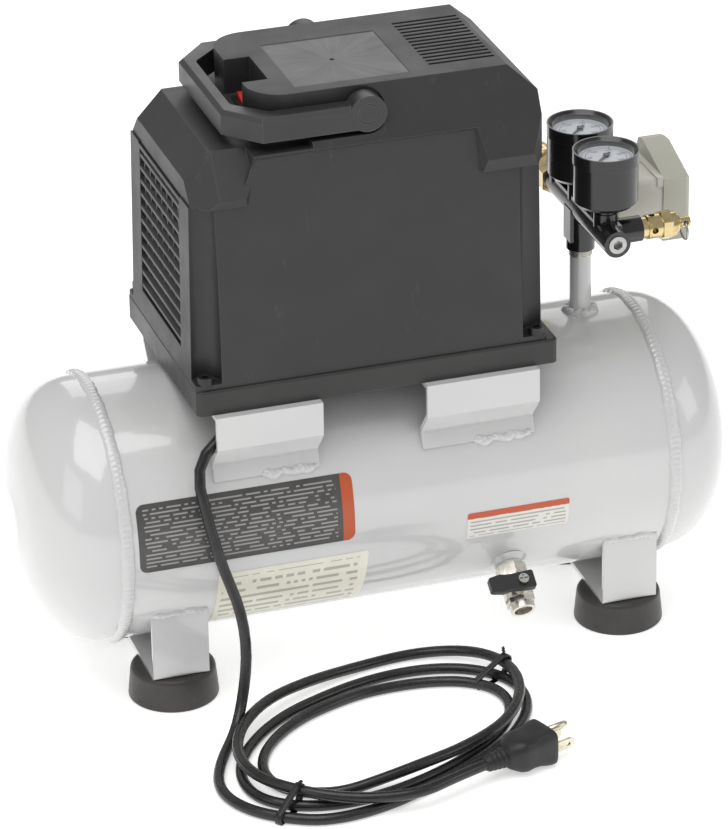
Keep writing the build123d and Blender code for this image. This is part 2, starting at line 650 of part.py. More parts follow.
# ---------------------------------------------------------------- rocker switch
with BuildPart() as rocker_bezel:
    block(ROCKER_X - 6.5, ROCKER_X + 6.5, ROCKER_Y - 11.5, ROCKER_Y + 11.5, POCKET_Z, POCKET_Z + 1.8)
    block(ROCKER_X - 5.1, ROCKER_X + 5.1, ROCKER_Y - 10.1, ROCKER_Y + 10.1, POCKET_Z - 14, POCKET_Z)
    well_z = POCKET_Z - 7.5
    block(ROCKER_X - 4.2, ROCKER_X + 4.2, ROCKER_Y - 9.2, ROCKER_Y + 9.2, well_z, POCKET_Z + 5, Mode.SUBTRACT)
finish(rocker_bezel, "rocker_bezel")

with BuildPart() as rocker_key:
    # pressed down at the front, raised at the back
    key = [
        (ROCKER_Y - 8.4, POCKET_Z + 1.2), (ROCKER_Y, POCKET_Z + 3.2), (ROCKER_Y + 8.4, POCKET_Z + 5.6),
        (ROCKER_Y + 8.4, POCKET_Z + 1.0), (ROCKER_Y + 3.0, POCKET_Z - 3.0), (ROCKER_Y - 3.0, POCKET_Z - 3.0),
        (ROCKER_Y - 8.4, POCKET_Z - 1.0),
    ]
    prism_along_x(key, ROCKER_X - 3.8, ROCKER_X + 3.8)
finish(rocker_key, "rocker_key")

# ---------------------------------------------------------------- manifold
with BuildPart() as manifold:
    y0, y1 = MANIFOLD_Y
    rod((RISER_X, y0, MANIFOLD_Z), (0, 1, 0), MANIFOLD_R, y1 - y0)
    block(RISER_X - 6.6, RISER_X + 6.6, y0 + 10, y1 - 6, MANIFOLD_Z, MANIFOLD_Z + 7.6)
    rod((RISER_X, 0, POST_Z), (0, 0, 1), 9.0, MANIFOLD_Z - POST_Z)
    block(RISER_X - 9.0, RISER_X + 9.0, -6, 6, POST_Z + 6, MANIFOLD_Z)
    for gauge_y in GAUGE_Y:
        rod((RISER_X, gauge_y, MANIFOLD_Z), (0, 0, 1), 7.4, 13.5)
    rod((RISER_X, RELIEF_Y, MANIFOLD_Z), (1, 0, 0), 8.0, RELIEF_X[0] - RISER_X)
    rod((RISER_X, 5.0, MANIFOLD_Z), (1, 0, 0), 8.0, SWITCH_X[0] - RISER_X - 4.0)
    rod((RISER_X, REGULATOR_Y, MANIFOLD_Z), (0, 0, 1), 8.0, 9.0)
    # air ways
    rod((RISER_X, y0 + 3, MANIFOLD_Z), (0, 1, 0), 3.4, y1 - y0 - 6, Mode.SUBTRACT)
    rod((RISER_X, y0 - 1, MANIFOLD_Z), (0, 1, 0), 5.6, 9.0, Mode.SUBTRACT)
    rod((RISER_X, y1 - 8, MANIFOLD_Z), (0, 1, 0), 5.6, 9.0, Mode.SUBTRACT)
    rod((RISER_X, 0, POST_Z - 1), (0, 0, 1), RISER_R, 11.0, Mode.SUBTRACT)
    rod((RISER_X, 0, POST_Z + 9), (0, 0, 1), 3.4, MANIFOLD_Z - POST_Z - 9, Mode.SUBTRACT)
    for gauge_y in GAUGE_Y:
        rod((RISER_X, gauge_y, MANIFOLD_Z), (0, 0, 1), 3.4, 20.0, Mode.SUBTRACT)
    rod((RISER_X, RELIEF_Y, MANIFOLD_Z), (1, 0, 0), 3.4, 30.0, Mode.SUBTRACT)
    rod((RISER_X, 5.0, MANIFOLD_Z), (1, 0, 0), 3.4, 30.0, Mode.SUBTRACT)
    rod((RISER_X, REGULATOR_Y, MANIFOLD_Z), (0, 0, 1), 3.4, 20.0, Mode.SUBTRACT)
finish(manifold, "manifold")

with BuildPart() as manifold_plug:
    rod((RISER_X, MANIFOLD_Y[0] - 0.8, MANIFOLD_Z), (0, 1, 0), 5.6, 8.8)
    hex_rod((RISER_X, MANIFOLD_Y[0] - 1.8, MANIFOLD_Z), (0, 1, 0), 5.5, 5.0, Mode.SUBTRACT)
finish(manifold_plug, "manifold_plug")


# ---------------------------------------------------------------- gauges
def make_gauge(prefix, y):
    """Round bottom-entry pressure gauge that faces up: case, dial, needle and lens."""
    low, high = GAUGE_Z
    with BuildPart() as case:
        rod((RISER_X, y, low), (0, 0, 1), GAUGE_R - 0.8, high - low)
        chamfer(case.edges().filter_by(GeomType.CIRCLE).group_by(Axis.Z)[0], 2.6)
        rod((RISER_X, y, high - 8.0), (0, 0, 1), GAUGE_R, 8.0)
        rod((RISER_X, y, high - 6.0), (0, 0, 1), GAUGE_R - 3.4, 8.0, Mode.SUBTRACT)
        taper_rod((RISER_X, y, high - 2.2), (0, 0, 1), GAUGE_R - 3.2, GAUGE_R - 0.9, 2.3, Mode.SUBTRACT)
        # square-shouldered stem screwed into the manifold
        rod((RISER_X, y, MANIFOLD_Z + 13.5), (0, 0, 1), 6.6, low - MANIFOLD_Z - 13.5)
        hex_rod((RISER_X, y, MANIFOLD_Z + 15.0), (0, 0, 1), 12.0, 3.5)
        rod((RISER_X, y, high - 7.0), (0, 0, 1), 0.8, 3.0, Mode.SUBTRACT)
    finish(case, f"{prefix}_case")
    with BuildPart() as dial:
        rod((RISER_X, y, high - 6.0), (0, 0, 1), GAUGE_R - 3.4, 0.8)
        rod((RISER_X, y, high - 7.0), (0, 0, 1), 0.8, 3.0, Mode.SUBTRACT)
    finish(dial, f"{prefix}_dial")
    with BuildPart() as needle:
        rod((RISER_X, y, high - 7.0), (0, 0, 1), 0.75, 3.6)
        rod((RISER_X, y, high - 4.6), (0, 0, 1), 1.9, 1.4)
        blade = [(0.9, 0), (0.3, 12.5), (-0.3, 12.5), (-0.9, 0), (-0.9, -5.0), (0.9, -5.0)]
        turn = math.radians(NEEDLE_REST)
        turned = [
            (RISER_X + a * math.cos(turn) - b * math.sin(turn), y + a * math.sin(turn) + b * math.cos(turn))
            for a, b in blade
        ]
        prism_along_z(turned, high - 4.4, high - 3.9)
    finish(needle, f"{prefix}_needle")
    with BuildPart() as lens:
        rod((RISER_X, y, high - 2.2), (0, 0, 1), GAUGE_R - 3.4, 1.2)
    finish(lens, f"{prefix}_lens")


make_gauge("gauge_front", GAUGE_Y[0])
make_gauge("gauge_rear", GAUGE_Y[1])

# ---------------------------------------------------------------- safety valve
VALVE = (RELIEF_Y, MANIFOLD_Z)
with BuildPart() as relief_body:
    x0, x1 = RELIEF_X
    rod((x0, *VALVE), (1, 0, 0), 6.6, 5.0)
    rod((x0 + 4.0, *VALVE), (1, 0, 0), 7.6, x1 - x0 - 6.0)
    hex_rod((x0 + 13.0, *VALVE), (1, 0, 0), 16.5, 6.0)
    rod((x1 - 3.0, *VALVE), (1, 0, 0), 5.6, 3.0)
    rod((x0 - 1, *VALVE), (1, 0, 0), 2.2, x1 - x0 + 2, Mode.SUBTRACT)
    # cross holes that let the air out
    rod((x0 + 7.5, RELIEF_Y - 20, MANIFOLD_Z), (0, 1, 0), 2.0, 40, Mode.SUBTRACT)
    rod((x0 + 7.5, RELIEF_Y, MANIFOLD_Z - 20), (0, 0, 1), 2.0, 40, Mode.SUBTRACT)
finish(relief_body, "relief_body")

with BuildPart() as relief_stem:
    rod((RELIEF_X[0] + 12, *VALVE), (1, 0, 0), 2.15, RELIEF_X[1] - RELIEF_X[0] - 12 + 2.0)
    rod((RELIEF_X[1] + 1.6, *VALVE), (1, 0, 0), 3.2, 6.0)
    rod((RELIEF_X[1] + 4.6, VALVE[0] - 5, VALVE[1]), (0, 1, 0), 1.75, 10, Mode.SUBTRACT)
finish(relief_stem, "relief_stem")

with BuildPart() as relief_ring:
    with Locations(Plane(origin=(RELIEF_X[1] + 4.6, VALVE[0], VALVE[1] - RING_R + 0.3), z_dir=(1, 0, 0))):
        Torus(RING_R, RING_WIRE)
finish(relief_ring, "relief_ring")

# ---------------------------------------------------------------- outlet coupler at the back end
with BuildPart() as outlet_bushing:
    rod((RISER_X, OUTLET_Y - 7.0, MANIFOLD_Z), (0, 1, 0), 5.6, 7.0)
    hex_rod((RISER_X, OUTLET_Y, MANIFOLD_Z), (0, 1, 0), 19.0, 9.0)
    rod((RISER_X, OUTLET_Y + 9.0, MANIFOLD_Z), (0, 1, 0), 6.0, 6.0)
    rod((RISER_X, OUTLET_Y - 8.0, MANIFOLD_Z), (0, 1, 0), 3.4, 30.0, Mode.SUBTRACT)
finish(outlet_bushing, "outlet_bushing")

with BuildPart() as coupler_body:
    y = OUTLET_Y + 9.0
    hex_rod((RISER_X, y, MANIFOLD_Z), (0, 1, 0), 19.0, 8.0)
    rod((RISER_X, y + 8.0, MANIFOLD_Z), (0, 1, 0), 8.0, 22.0)
    rod((RISER_X, y - 1.0, MANIFOLD_Z), (0, 1, 0), 6.0, 7.0, Mode.SUBTRACT)
    rod((RISER_X, y - 1.0, MANIFOLD_Z), (0, 1, 0), 3.4, 20.0, Mode.SUBTRACT)
    rod((RISER_X, y + 12.0, MANIFOLD_Z), (0, 1, 0), 5.9, 20.0, Mode.SUBTRACT)
finish(coupler_body, "coupler_body")

with BuildPart() as coupler_sleeve:
    y = OUTLET_Y + 22.0
    rod((RISER_X, y, MANIFOLD_Z), (0, 1, 0), 11.0, 16.5)
    chamfer(coupler_sleeve.edges().filter_by(GeomType.CIRCLE), 1.2)
    for i in range(24):
        a = 2 * math.pi * i / 24
        flute = (RISER_X + 11.2 * math.cos(a), y + 4.0, MANIFOLD_Z + 11.2 * math.sin(a))
        rod(flute, (0, 1, 0), 0.7, 8.0, Mode.SUBTRACT)
    rod((RISER_X, y - 1.0, MANIFOLD_Z), (0, 1, 0), 8.05, 20.0, Mode.SUBTRACT)
finish(coupler_sleeve, "coupler_sleeve")

# ---------------------------------------------------------------- regulator behind the rear gauge
with BuildPart() as regulator_bonnet:
    rod((RISER_X, REGULATOR_Y, MANIFOLD_Z + 9.0), (0, 0, 1), 8.8, 3.0)
    rod((RISER_X, REGULATOR_Y, MANIFOLD_Z + 12.0), (0, 0, 1), 4.0, 15.0)
finish(regulator_bonnet, "regulator_bonnet")

with BuildPart() as regulator_knob:
    low = MANIFOLD_Z + 13.0
    rod((RISER_X, REGULATOR_Y, low), (0, 0, 1), 9.6, 22.0)
    chamfer(regulator_knob.edges().filter_by(GeomType.CIRCLE).group_by(Axis.Z)[-1], 1.4)
    for i in range(16):
        a = 2 * math.pi * i / 16
        flute = (RISER_X + 9.9 * math.cos(a), REGULATOR_Y + 9.9 * math.sin(a), low + 3.0)
        rod(flute, (0, 0, 1), 0.9, 30.0, Mode.SUBTRACT)
    rod((RISER_X, REGULATOR_Y, low - 1.0), (0, 0, 1), 4.05, 17.0, Mode.SUBTRACT)
finish(regulator_knob, "regulator_knob")

# ---------------------------------------------------------------- pressure switch
with BuildPart() as switch_base:
    y0, y1 = SWITCH_Y
    block(SWITCH_X[0], SWITCH_X[1], y0 + 1, y1 - 1, SWITCH_Z[0] + 2, SWITCH_Z[1])
    fillet(switch_base.edges().filter_by(Axis.X), 2.5)
    block(SWITCH_X[1] - 4, SWITCH_X[1], y0 + 0.2, y1 - 0.2, SWITCH_Z[1] - 5, SWITCH_Z[1] + 1.2)
    rod((SWITCH_X[0] - 4.0, 5.0, MANIFOLD_Z), (1, 0, 0), 6.4, 5.0)
    inside_x = (SWITCH_X[0] + 2.5, SWITCH_X[1] - 2.5)
    block(inside_x[0], inside_x[1], y0 + 4, y1 - 4, SWITCH_Z[0] + 5, SWITCH_Z[1] - 3, Mode.SUBTRACT)
finish(switch_base, "switch_base")

with BuildPart() as switch_cover:
    y0, y1 = SWITCH_Y
    x0, x1 = SWITCH_X[1:]
    profile = [
        (y0, SWITCH_Z[0]), (y0, SWITCH_Z[1]), (y1 - 9.0, SWITCH_Z[2]), (y1 - 2.0, SWITCH_Z[2] - 1.5),
        (y1, SWITCH_Z[2] - 6.0), (y1, SWITCH_Z[0]),
    ]
    prism_along_x(profile, x0, x1)
    chamfer(switch_cover.faces().sort_by(Axis.X)[-1].edges(), 3.0)
    block(x0 - 1, x1 - 4.0, y0 + 2.5, y1 - 2.5, SWITCH_Z[0] + 2.5, SWITCH_Z[1] - 2, Mode.SUBTRACT)
finish(switch_cover, "switch_cover")

# ---------------------------------------------------------------- drain valve
with BuildPart() as drain_body:
    hex_rod(drain_point(4.6), DRAIN_DIR, 17.0, 8.0)
    rod(drain_point(-4), DRAIN_DIR, 5.2, 10)
    rod(drain_point(12), DRAIN_DIR, 9.2, 15.0)
    rod(drain_point(DRAIN_BALL_AT), DRAIN_UP, 5.6, 12.5)
    hex_rod(drain_point(27), DRAIN_DIR, 16.0, 3.5)
    rod(drain_point(30), DRAIN_DIR, 7.8, 5.0)
    rod(drain_point(-6), DRAIN_DIR, 3.0, 60, Mode.SUBTRACT)
    rod(drain_point(30), DRAIN_DIR, 5.6, 10, Mode.SUBTRACT)
    with Locations(drain_point(DRAIN_BALL_AT)):
        Sphere(BALL_R + 0.05, mode=Mode.SUBTRACT)
    rod(drain_point(DRAIN_BALL_AT), DRAIN_UP, 2.05, 20, Mode.SUBTRACT)
finish(drain_body, "drain_body")


def along_up(point, distance):
    """Point moved along the drain valve's stem direction."""
    return tuple(p + distance * u for p, u in zip(point, DRAIN_UP))


BALL_C = drain_point(DRAIN_BALL_AT)
with BuildPart() as drain_ball:
    with Locations(BALL_C):
        Sphere(BALL_R)
    rod(BALL_C, DRAIN_UP, 2.0, 17.5)
    rod((BALL_C[0] - 10, BALL_C[1], BALL_C[2]), (1, 0, 0), 3.0, 20, Mode.SUBTRACT)
finish(drain_ball, "drain_ball")

with BuildPart() as drain_lever:
    seat = along_up(BALL_C, 12.8)
    lever_plane = Plane(origin=seat, x_dir=(1, 0, 0), z_dir=DRAIN_UP)
    with BuildSketch(lever_plane) as lever_sketch:
        with BuildLine():
            Polyline(
                (7.5, -6.0), (7.5, 6.0), (-9.0, 5.0), (-14.0, 6.0), (-21.5, 4.6),
                (-21.5, -4.6), (-14.0, -6.0), (-9.0, -5.0), close=True,
            )
        make_face()
        fillet(lever_sketch.vertices(), 1.5)
    extrude(lever_sketch.sketch, amount=4.4)
    rod(seat, DRAIN_UP, 2.0, 20, Mode.SUBTRACT)
finish(drain_lever, "drain_lever")

with BuildPart() as drain_screw:
    rod(along_up(BALL_C, 17.5), DRAIN_UP, 3.2, 2.2)
    with Locations(Plane(origin=along_up(BALL_C, 19.2), x_dir=(1, 0, 0), z_dir=DRAIN_UP)):
        Box(5.0, 0.9, 1.2, mode=Mode.SUBTRACT)
        Box(0.9, 5.0, 1.2, mode=Mode.SUBTRACT)
finish(drain_screw, "drain_screw")

# ---------------------------------------------------------------- motor and pump
with BuildPart() as motor_stator:
    block(-8, 42, -34, 34, MOTOR_Z - 34, MOTOR_Z + 34)
    fillet(motor_stator.edges().filter_by(Axis.X), 8.0)
    rod((-12, 0, MOTOR_Z), (1, 0, 0), 20.3, 60, Mode.SUBTRACT)
    for y in (-26.0, 26.0):
        block(-2, 36, y - 6, y + 6, HOUSING_Z, MOTOR_Z - 30)
finish(motor_stator, "motor_stator")

with BuildPart() as rotor_shaft:
    rod((-112, 0, MOTOR_Z), (1, 0, 0), SHAFT_R, PUMP_X - 3.5 + 112)
    rod((PUMP_X + 3.5, 0, MOTOR_Z), (1, 0, 0), SHAFT_R, 50 - PUMP_X - 3.5)
    rod((-8, 0, MOTOR_Z), (1, 0, 0), 19.8, 50)
    # eccentric, hanging at bottom dead centre
    rod((PUMP_X - 3.5, 0, MOTOR_Z - CRANK_THROW), (1, 0, 0), ECCENTRIC_R, 7.0)
finish(rotor_shaft, "rotor_shaft")

with BuildPart() as cooling_fan:
    rod((-112, 0, MOTOR_Z), (1, 0, 0), 11.0, 12.0)
    for i in range(7):
        a = 2 * math.pi / 7 * i
        outwards = (0, math.cos(a), math.sin(a))
        blade_plane = Plane(origin=(-106, 0, MOTOR_Z), x_dir=outwards, z_dir=(1, 0, 0))
        with Locations(blade_plane * Location((24.5, 0, 0), (28, 0, 0))):
            Box(33.0, 19.0, 1.6)
    rod((-120, 0, MOTOR_Z), (1, 0, 0), SHAFT_R, 30, Mode.SUBTRACT)
finish(cooling_fan, "cooling_fan")

with BuildPart() as crankcase:
    block(PUMP_X - 16, PUMP_X + 16, -40, 40, HOUSING_Z, 306)
    block(PUMP_X - 10, PUMP_X + 10, -36, 36, HOUSING_Z + 5, 302, Mode.SUBTRACT)
    rod((PUMP_X, 0, 302), (0, 0, 1), PISTON_R + 4, 40)
    rod((PUMP_X, 0, 290), (0, 0, 1), PISTON_R + 0.05, 60, Mode.SUBTRACT)
    block(PUMP_X - 10, PUMP_X + 10, -30, 30, 290, 304, Mode.SUBTRACT)
    rod((PUMP_X - 30, 0, MOTOR_Z), (1, 0, 0), SHAFT_R + 0.05, 60, Mode.SUBTRACT)
finish(crankcase, "crankcase")

with BuildPart() as piston_rod:
    low = MOTOR_Z - CRANK_THROW
    rod((PUMP_X, 0, 314), (0, 0, 1), PISTON_R, 7.0)
    block(PUMP_X - 3, PUMP_X + 3, -7, 7, low + BIG_END_R, 315)
    rod((PUMP_X - 3, 0, low), (1, 0, 0), BIG_END_R + 3.0, 6.0)
    rod((PUMP_X - 4, 0, low), (1, 0, 0), BIG_END_R, 8.0, Mode.SUBTRACT)
finish(piston_rod, "piston_rod")

with BuildPart() as cylinder_head:
    block(PUMP_X - 27, PUMP_X + 27, -27, 27, 342, 352)
    for i in range(7):
        y = -24 + 8 * i
        block(PUMP_X - 27, PUMP_X + 27, y - 1.2, y + 1.2, 352, 358)
finish(cylinder_head, "cylinder_head")

with BuildPart() as discharge_line:
    with BuildLine() as tube_path:
        FilletPolyline(
            (PUMP_X + 27, 0, 347), (CHECK_X, 0, 347), (CHECK_X, 0, TANK_Z + TANK_R + 8.0), radius=12.0,
        )
    with BuildSketch(Plane(origin=tube_path.line @ 0, z_dir=tube_path.line % 0)) as tube_section:
        Circle(4.0)
    sweep(tube_section.sketch, path=tube_path.line)
    rod((CHECK_X, 0, TANK_Z + TANK_R - 4.0), (0, 0, 1), CHECK_R, 8.0)
    hex_rod((CHECK_X, 0, TANK_Z + TANK_R + 1.0), (0, 0, 1), 16.0, 9.0)
finish(discharge_line, "discharge_line")

# ---------------------------------------------------------------- power cord and plug
with BuildPart() as cord_gland:
    gx, gy, gz = CORD_EXIT
    direction = tuple(b - a for a, b in zip(CORD_LEAD[0], CORD_LEAD[1]))
    reach = math.dist((0, 0, 0), direction)
    unit = tuple(c / reach for c in direction)
    block(gx, gx + 12, gy - 7, gy + 7, gz - 8, TRAY_Z[0] - BRACKET_T)
    taper_rod(tuple(p - 1.0 * u for p, u in zip(CORD_EXIT, unit)), unit, 6.8, 4.9, 9.0)
    rod(CORD_EXIT, unit, CORD_R, 30, Mode.SUBTRACT)
    block(gx - 20, gx + 20, gy - 20, gy + 20, TRAY_Z[0] - BRACKET_T, 300, Mode.SUBTRACT)
finish(cord_gland, "cord_gland")


def ring_around_coil(grow):
    """Oval ring seen from above: the outline of the coil's outer and inner turns."""
    with BuildSketch(Plane.XY) as ring:
        with Locations(Location((*COIL_C, 0), (0, 0, COIL_TILT))):
            Ellipse(COIL_OUT[0] + grow, COIL_OUT[1] + grow)
            Ellipse(COIL_IN[0] - grow, COIL_IN[1] - grow, mode=Mode.SUBTRACT)
    return ring.sketch


with BuildPart() as cord_coil:
    extrude(ring_around_coil(CORD_R + 1.0), amount=COIL_H)
    chamfer(cord_coil.faces().sort_by(Axis.Z)[-1].edges(), 4.0)
finish(cord_coil, "cord_coil")


def lay_tube(points, radii):
    """Round tube along straight runs joined by arcs, in the part that is being built."""
    with BuildLine() as path:
        FilletPolyline(*points, radius=radii)
    with BuildSketch(Plane(origin=path.line @ 0, z_dir=path.line % 0)) as section:
        Circle(CORD_R)
    sweep(section.sketch, path=path.line)


def bend_radii(points):
    """Largest even bend at each inner point: 0.45 of the shorter run over tan(half turn)."""
    radii = []
    for before, here, after in zip(points, points[1:], points[2:]):
        run_in, run_out = math.dist(before, here), math.dist(here, after)
        a = [(h - b) / run_in for b, h in zip(before, here)]
        c = [(n - h) / run_out for h, n in zip(here, after)]
        turn = math.acos(max(-1.0, min(1.0, sum(p * q for p, q in zip(a, c)))))
        radii.append(0.45 * min(run_in, run_out) / math.tan(turn / 2))
    return radii


with BuildPart() as power_cord:
    lay_tube(CORD_LEAD, bend_radii(CORD_LEAD))
    lay_tube(CORD_TAIL, bend_radii(CORD_TAIL))
finish(power_cord, "power_cord")

PLUG_DIR = (math.cos(math.radians(PLUG_TURN)), math.sin(math.radians(PLUG_TURN)), 0)
with BuildPart() as plug_body:
    taper_rod(PLUG_START, PLUG_DIR, 4.6, 6.4, 14.0)
    nose = tuple(p + 12.0 * d for p, d in zip(PLUG_START, PLUG_DIR))
    sections = []
    for reach, wide, high in ((0.0, 17.0, 15.0), (8.0, 25.0, 22.0), (30.0, 26.5, 23.5), (33.0, 25.0, 22.0)):
        centre = tuple(p + reach * d for p, d in zip(nose, PLUG_DIR))
        across = (PLUG_DIR[1], -PLUG_DIR[0], 0)
        with BuildSketch(Plane(origin=centre, x_dir=across, z_dir=PLUG_DIR)) as section:
            RectangleRounded(wide, high, 6.0)
        sections.append(section.sketch)
    loft(sections, ruled=True)
finish(plug_body, "plug_body")

with BuildPart() as plug_blades:
    face = tuple(p + 33.0 * d for p, d in zip(nose, PLUG_DIR))
    blade_plane = Plane(origin=face, x_dir=(PLUG_DIR[1], -PLUG_DIR[0], 0), z_dir=PLUG_DIR)
    with BuildSketch(blade_plane) as blade_sketch:
        with Locations((-6.35, -3.0), (6.35, -3.0)):
            Rectangle(1.5, 6.4)
        with Locations((0, 6.5)):
            Circle(2.4)
    extrude(blade_sketch.sketch, amount=17.0)
finish(plug_blades, "plug_blades")

with BuildPart() as cord_ties:
    mid = tuple(TIE_REACH * o for o in COIL_OUT)
    tilt = math.radians(COIL_TILT)
    for t in TIE_ANGLES:
        t = math.radians(t)
        u, v = mid[0] * math.cos(t), mid[1] * math.sin(t)
        centre = (
            COIL_C[0] + u * math.cos(tilt) - v * math.sin(tilt),
            COIL_C[1] + u * math.sin(tilt) + v * math.cos(tilt),
            0,
        )
        across = math.atan2(math.sin(t) / mid[1], math.cos(t) / mid[0]) + tilt
        tie_plane = Plane(
            origin=centre,
            x_dir=(math.cos(across), math.sin(across), 0),
            z_dir=(math.sin(across), -math.cos(across), 0),
        )
        with BuildSketch(tie_plane) as tie:
            with Locations((0, (COIL_H + TIE_T) / 2)):
                Rectangle(TIE_SPAN + 2 * TIE_T, COIL_H + TIE_T)
            with Locations((0, COIL_H / 2 - 1)):
                Rectangle(TIE_SPAN, COIL_H + 2, mode=Mode.SUBTRACT)
        extrude(tie.sketch, amount=TIE_W / 2, both=True)
    add(cord_coil.part, mode=Mode.SUBTRACT)
finish(cord_ties, "cord_ties")
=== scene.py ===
"""Looks for the air compressor: materials, welds, labels, dials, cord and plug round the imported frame."""
import json
import math

import bmesh
import bpy
from mathutils import Matrix, Vector


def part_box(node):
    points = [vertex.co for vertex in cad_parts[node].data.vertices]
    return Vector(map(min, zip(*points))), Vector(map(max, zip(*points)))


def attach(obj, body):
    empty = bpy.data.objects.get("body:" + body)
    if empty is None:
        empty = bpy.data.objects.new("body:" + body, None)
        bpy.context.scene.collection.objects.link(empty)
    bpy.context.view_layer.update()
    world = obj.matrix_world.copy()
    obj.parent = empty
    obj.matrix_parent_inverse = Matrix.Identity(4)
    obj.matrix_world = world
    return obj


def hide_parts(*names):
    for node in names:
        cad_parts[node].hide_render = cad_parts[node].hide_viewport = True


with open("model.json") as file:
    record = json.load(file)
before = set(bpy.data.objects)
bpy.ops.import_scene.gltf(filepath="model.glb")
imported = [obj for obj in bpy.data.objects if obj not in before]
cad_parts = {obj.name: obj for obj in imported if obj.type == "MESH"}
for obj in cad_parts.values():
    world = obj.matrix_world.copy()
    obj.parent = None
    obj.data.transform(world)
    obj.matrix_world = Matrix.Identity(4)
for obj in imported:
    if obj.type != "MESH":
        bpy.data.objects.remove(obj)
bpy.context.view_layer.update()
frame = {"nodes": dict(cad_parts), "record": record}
nodes = frame["nodes"]

# ---------------------------------------------------------------- sizes, in millimetres
MM = 0.001
TANK_Y = (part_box("tank_shell")[0].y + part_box("tank_shell")[1].y) / 2 / MM
TANK_R = 82.5
TANK_Z = 109.5
WELD_X = 175.0
RISER = (142.0, 0.0)
RISER_R = 6.85
SMUDGE_SCALE = 35.0  # size of the uneven gloss on every plain surface
RAY_RING, RAY_LENGTH = 3.2, 9.0  # how fine the flow marks are round the gate and along them
GATE = (-19.3, -8.1)  # where the hood's plastic was injected
DECK_Z = 384.5
PANEL_X, PANEL_Y = (-53.0, 18.0), (-43.0, 27.0)  # the paler panel sunk in the deck
GAUGES = (("front", -43.0), ("rear", 2.0))
CORD_R = 3.4
CORD_EXIT = (-62.0, -63.0, 189.0)


def at(x, y, z):
    """A point in metres from millimetres measured from the floor under the tank's axis."""
    return Vector((x * MM, (y + TANK_Y) * MM, z * MM))


def srgb(r, g=None, b=None):
    """Linear colour from 0 to 255 values."""
    values = (r, r if g is None else g, r if b is None else b)
    return tuple(((v / 255 + 0.055) / 1.055) ** 2.4 if v > 10 else v / 255 / 12.92 for v in values) + (1.0,)


# ---------------------------------------------------------------- materials
class Shader:
    """One material and short calls for the nodes it is made of."""

    def __init__(self, name, rough=0.5, metal=0.0, coat=0.0, coat_rough=0.05, specular=0.5):
        self.material = bpy.data.materials.new(name)
        self.material.use_nodes = True
        self.tree = self.material.node_tree
        self.bsdf = self.tree.nodes["Principled BSDF"]
        self.set("Roughness", rough)
        self.set("Metallic", metal)
        self.set("Coat Weight", coat)
        self.set("Coat Roughness", coat_rough)
        self.set("Specular IOR Level", specular)
        self.coords = self.node("ShaderNodeTexCoord").outputs["Object"]

    def set(self, socket, value):
        self.plug(self.bsdf.inputs[socket], value)

    def plug(self, socket, value):
        if isinstance(value, bpy.types.NodeSocket):
            self.tree.links.new(value, socket)
        else:
            socket.default_value = value

    def node(self, kind, inputs=(), **settings):
        made = self.tree.nodes.new(kind)
        for key, value in settings.items():
            setattr(made, key, value)
        for key, value in dict(inputs).items():
            self.plug(made.inputs[key], value)
        return made

    def noise(self, scale, detail=3.0, rough=0.5, stretch=None):
        vector = self.coords
        if stretch:
            vector = self.node("ShaderNodeMapping", {"Vector": vector, "Scale": stretch}).outputs[0]
        inputs = {"Vector": vector, "Scale": scale, "Detail": detail, "Roughness": rough}
        return self.node("ShaderNodeTexNoise", inputs).outputs["Fac"]

    def spread(self, value, low, high, start=0.3, end=0.7):
        inputs = {"Value": value, "From Min": start, "From Max": end, "To Min": low, "To Max": high}
        return self.node("ShaderNodeMapRange", inputs).outputs["Result"]

    def math(self, operation, a, b=0.0, c=0.0):
        made = self.node("ShaderNodeMath", operation=operation)
        self.plug(made.inputs[0], a)
        self.plug(made.inputs[1], b)
        self.plug(made.inputs[2], c)
        return made.outputs[0]

    def mix(self, share, first, second, blend="MIX"):
        made = self.node("ShaderNodeMix", data_type="RGBA", blend_type=blend)
        self.plug(made.inputs["Factor"], share)
        self.plug(made.inputs["A"], first)
        self.plug(made.inputs["B"], second)
        return made.outputs["Result"]

    def bump(self, height, distance, normal=None, strength=1.0):
        made = self.node("ShaderNodeBump", {"Height": height, "Distance": distance, "Strength": strength})
        if normal is not None:
            self.plug(made.inputs["Normal"], normal)
        self.set("Normal", made.outputs["Normal"])
        return made.outputs["Normal"]

    def bevel(self, radius):
        return self.node("ShaderNodeBevel", {"Radius": radius}, samples=4).outputs["Normal"]

    def edges(self, radius, low=0.02, high=0.25):
        """1 along sharp edges and 0 elsewhere."""
        true_normal = self.node("ShaderNodeNewGeometry").outputs["Normal"]
        vectors = {0: self.bevel(radius), 1: true_normal}
        dot = self.node("ShaderNodeVectorMath", vectors, operation="DOT_PRODUCT")
        away = self.math("SUBTRACT", 1.0, dot.outputs["Value"])
        return self.spread(away, 0.0, 1.0, low, high)


def scaled(color, factor):
    """A colour made darker or lighter, opaque."""
    return tuple(c * factor for c in color[:3]) + (1.0,)


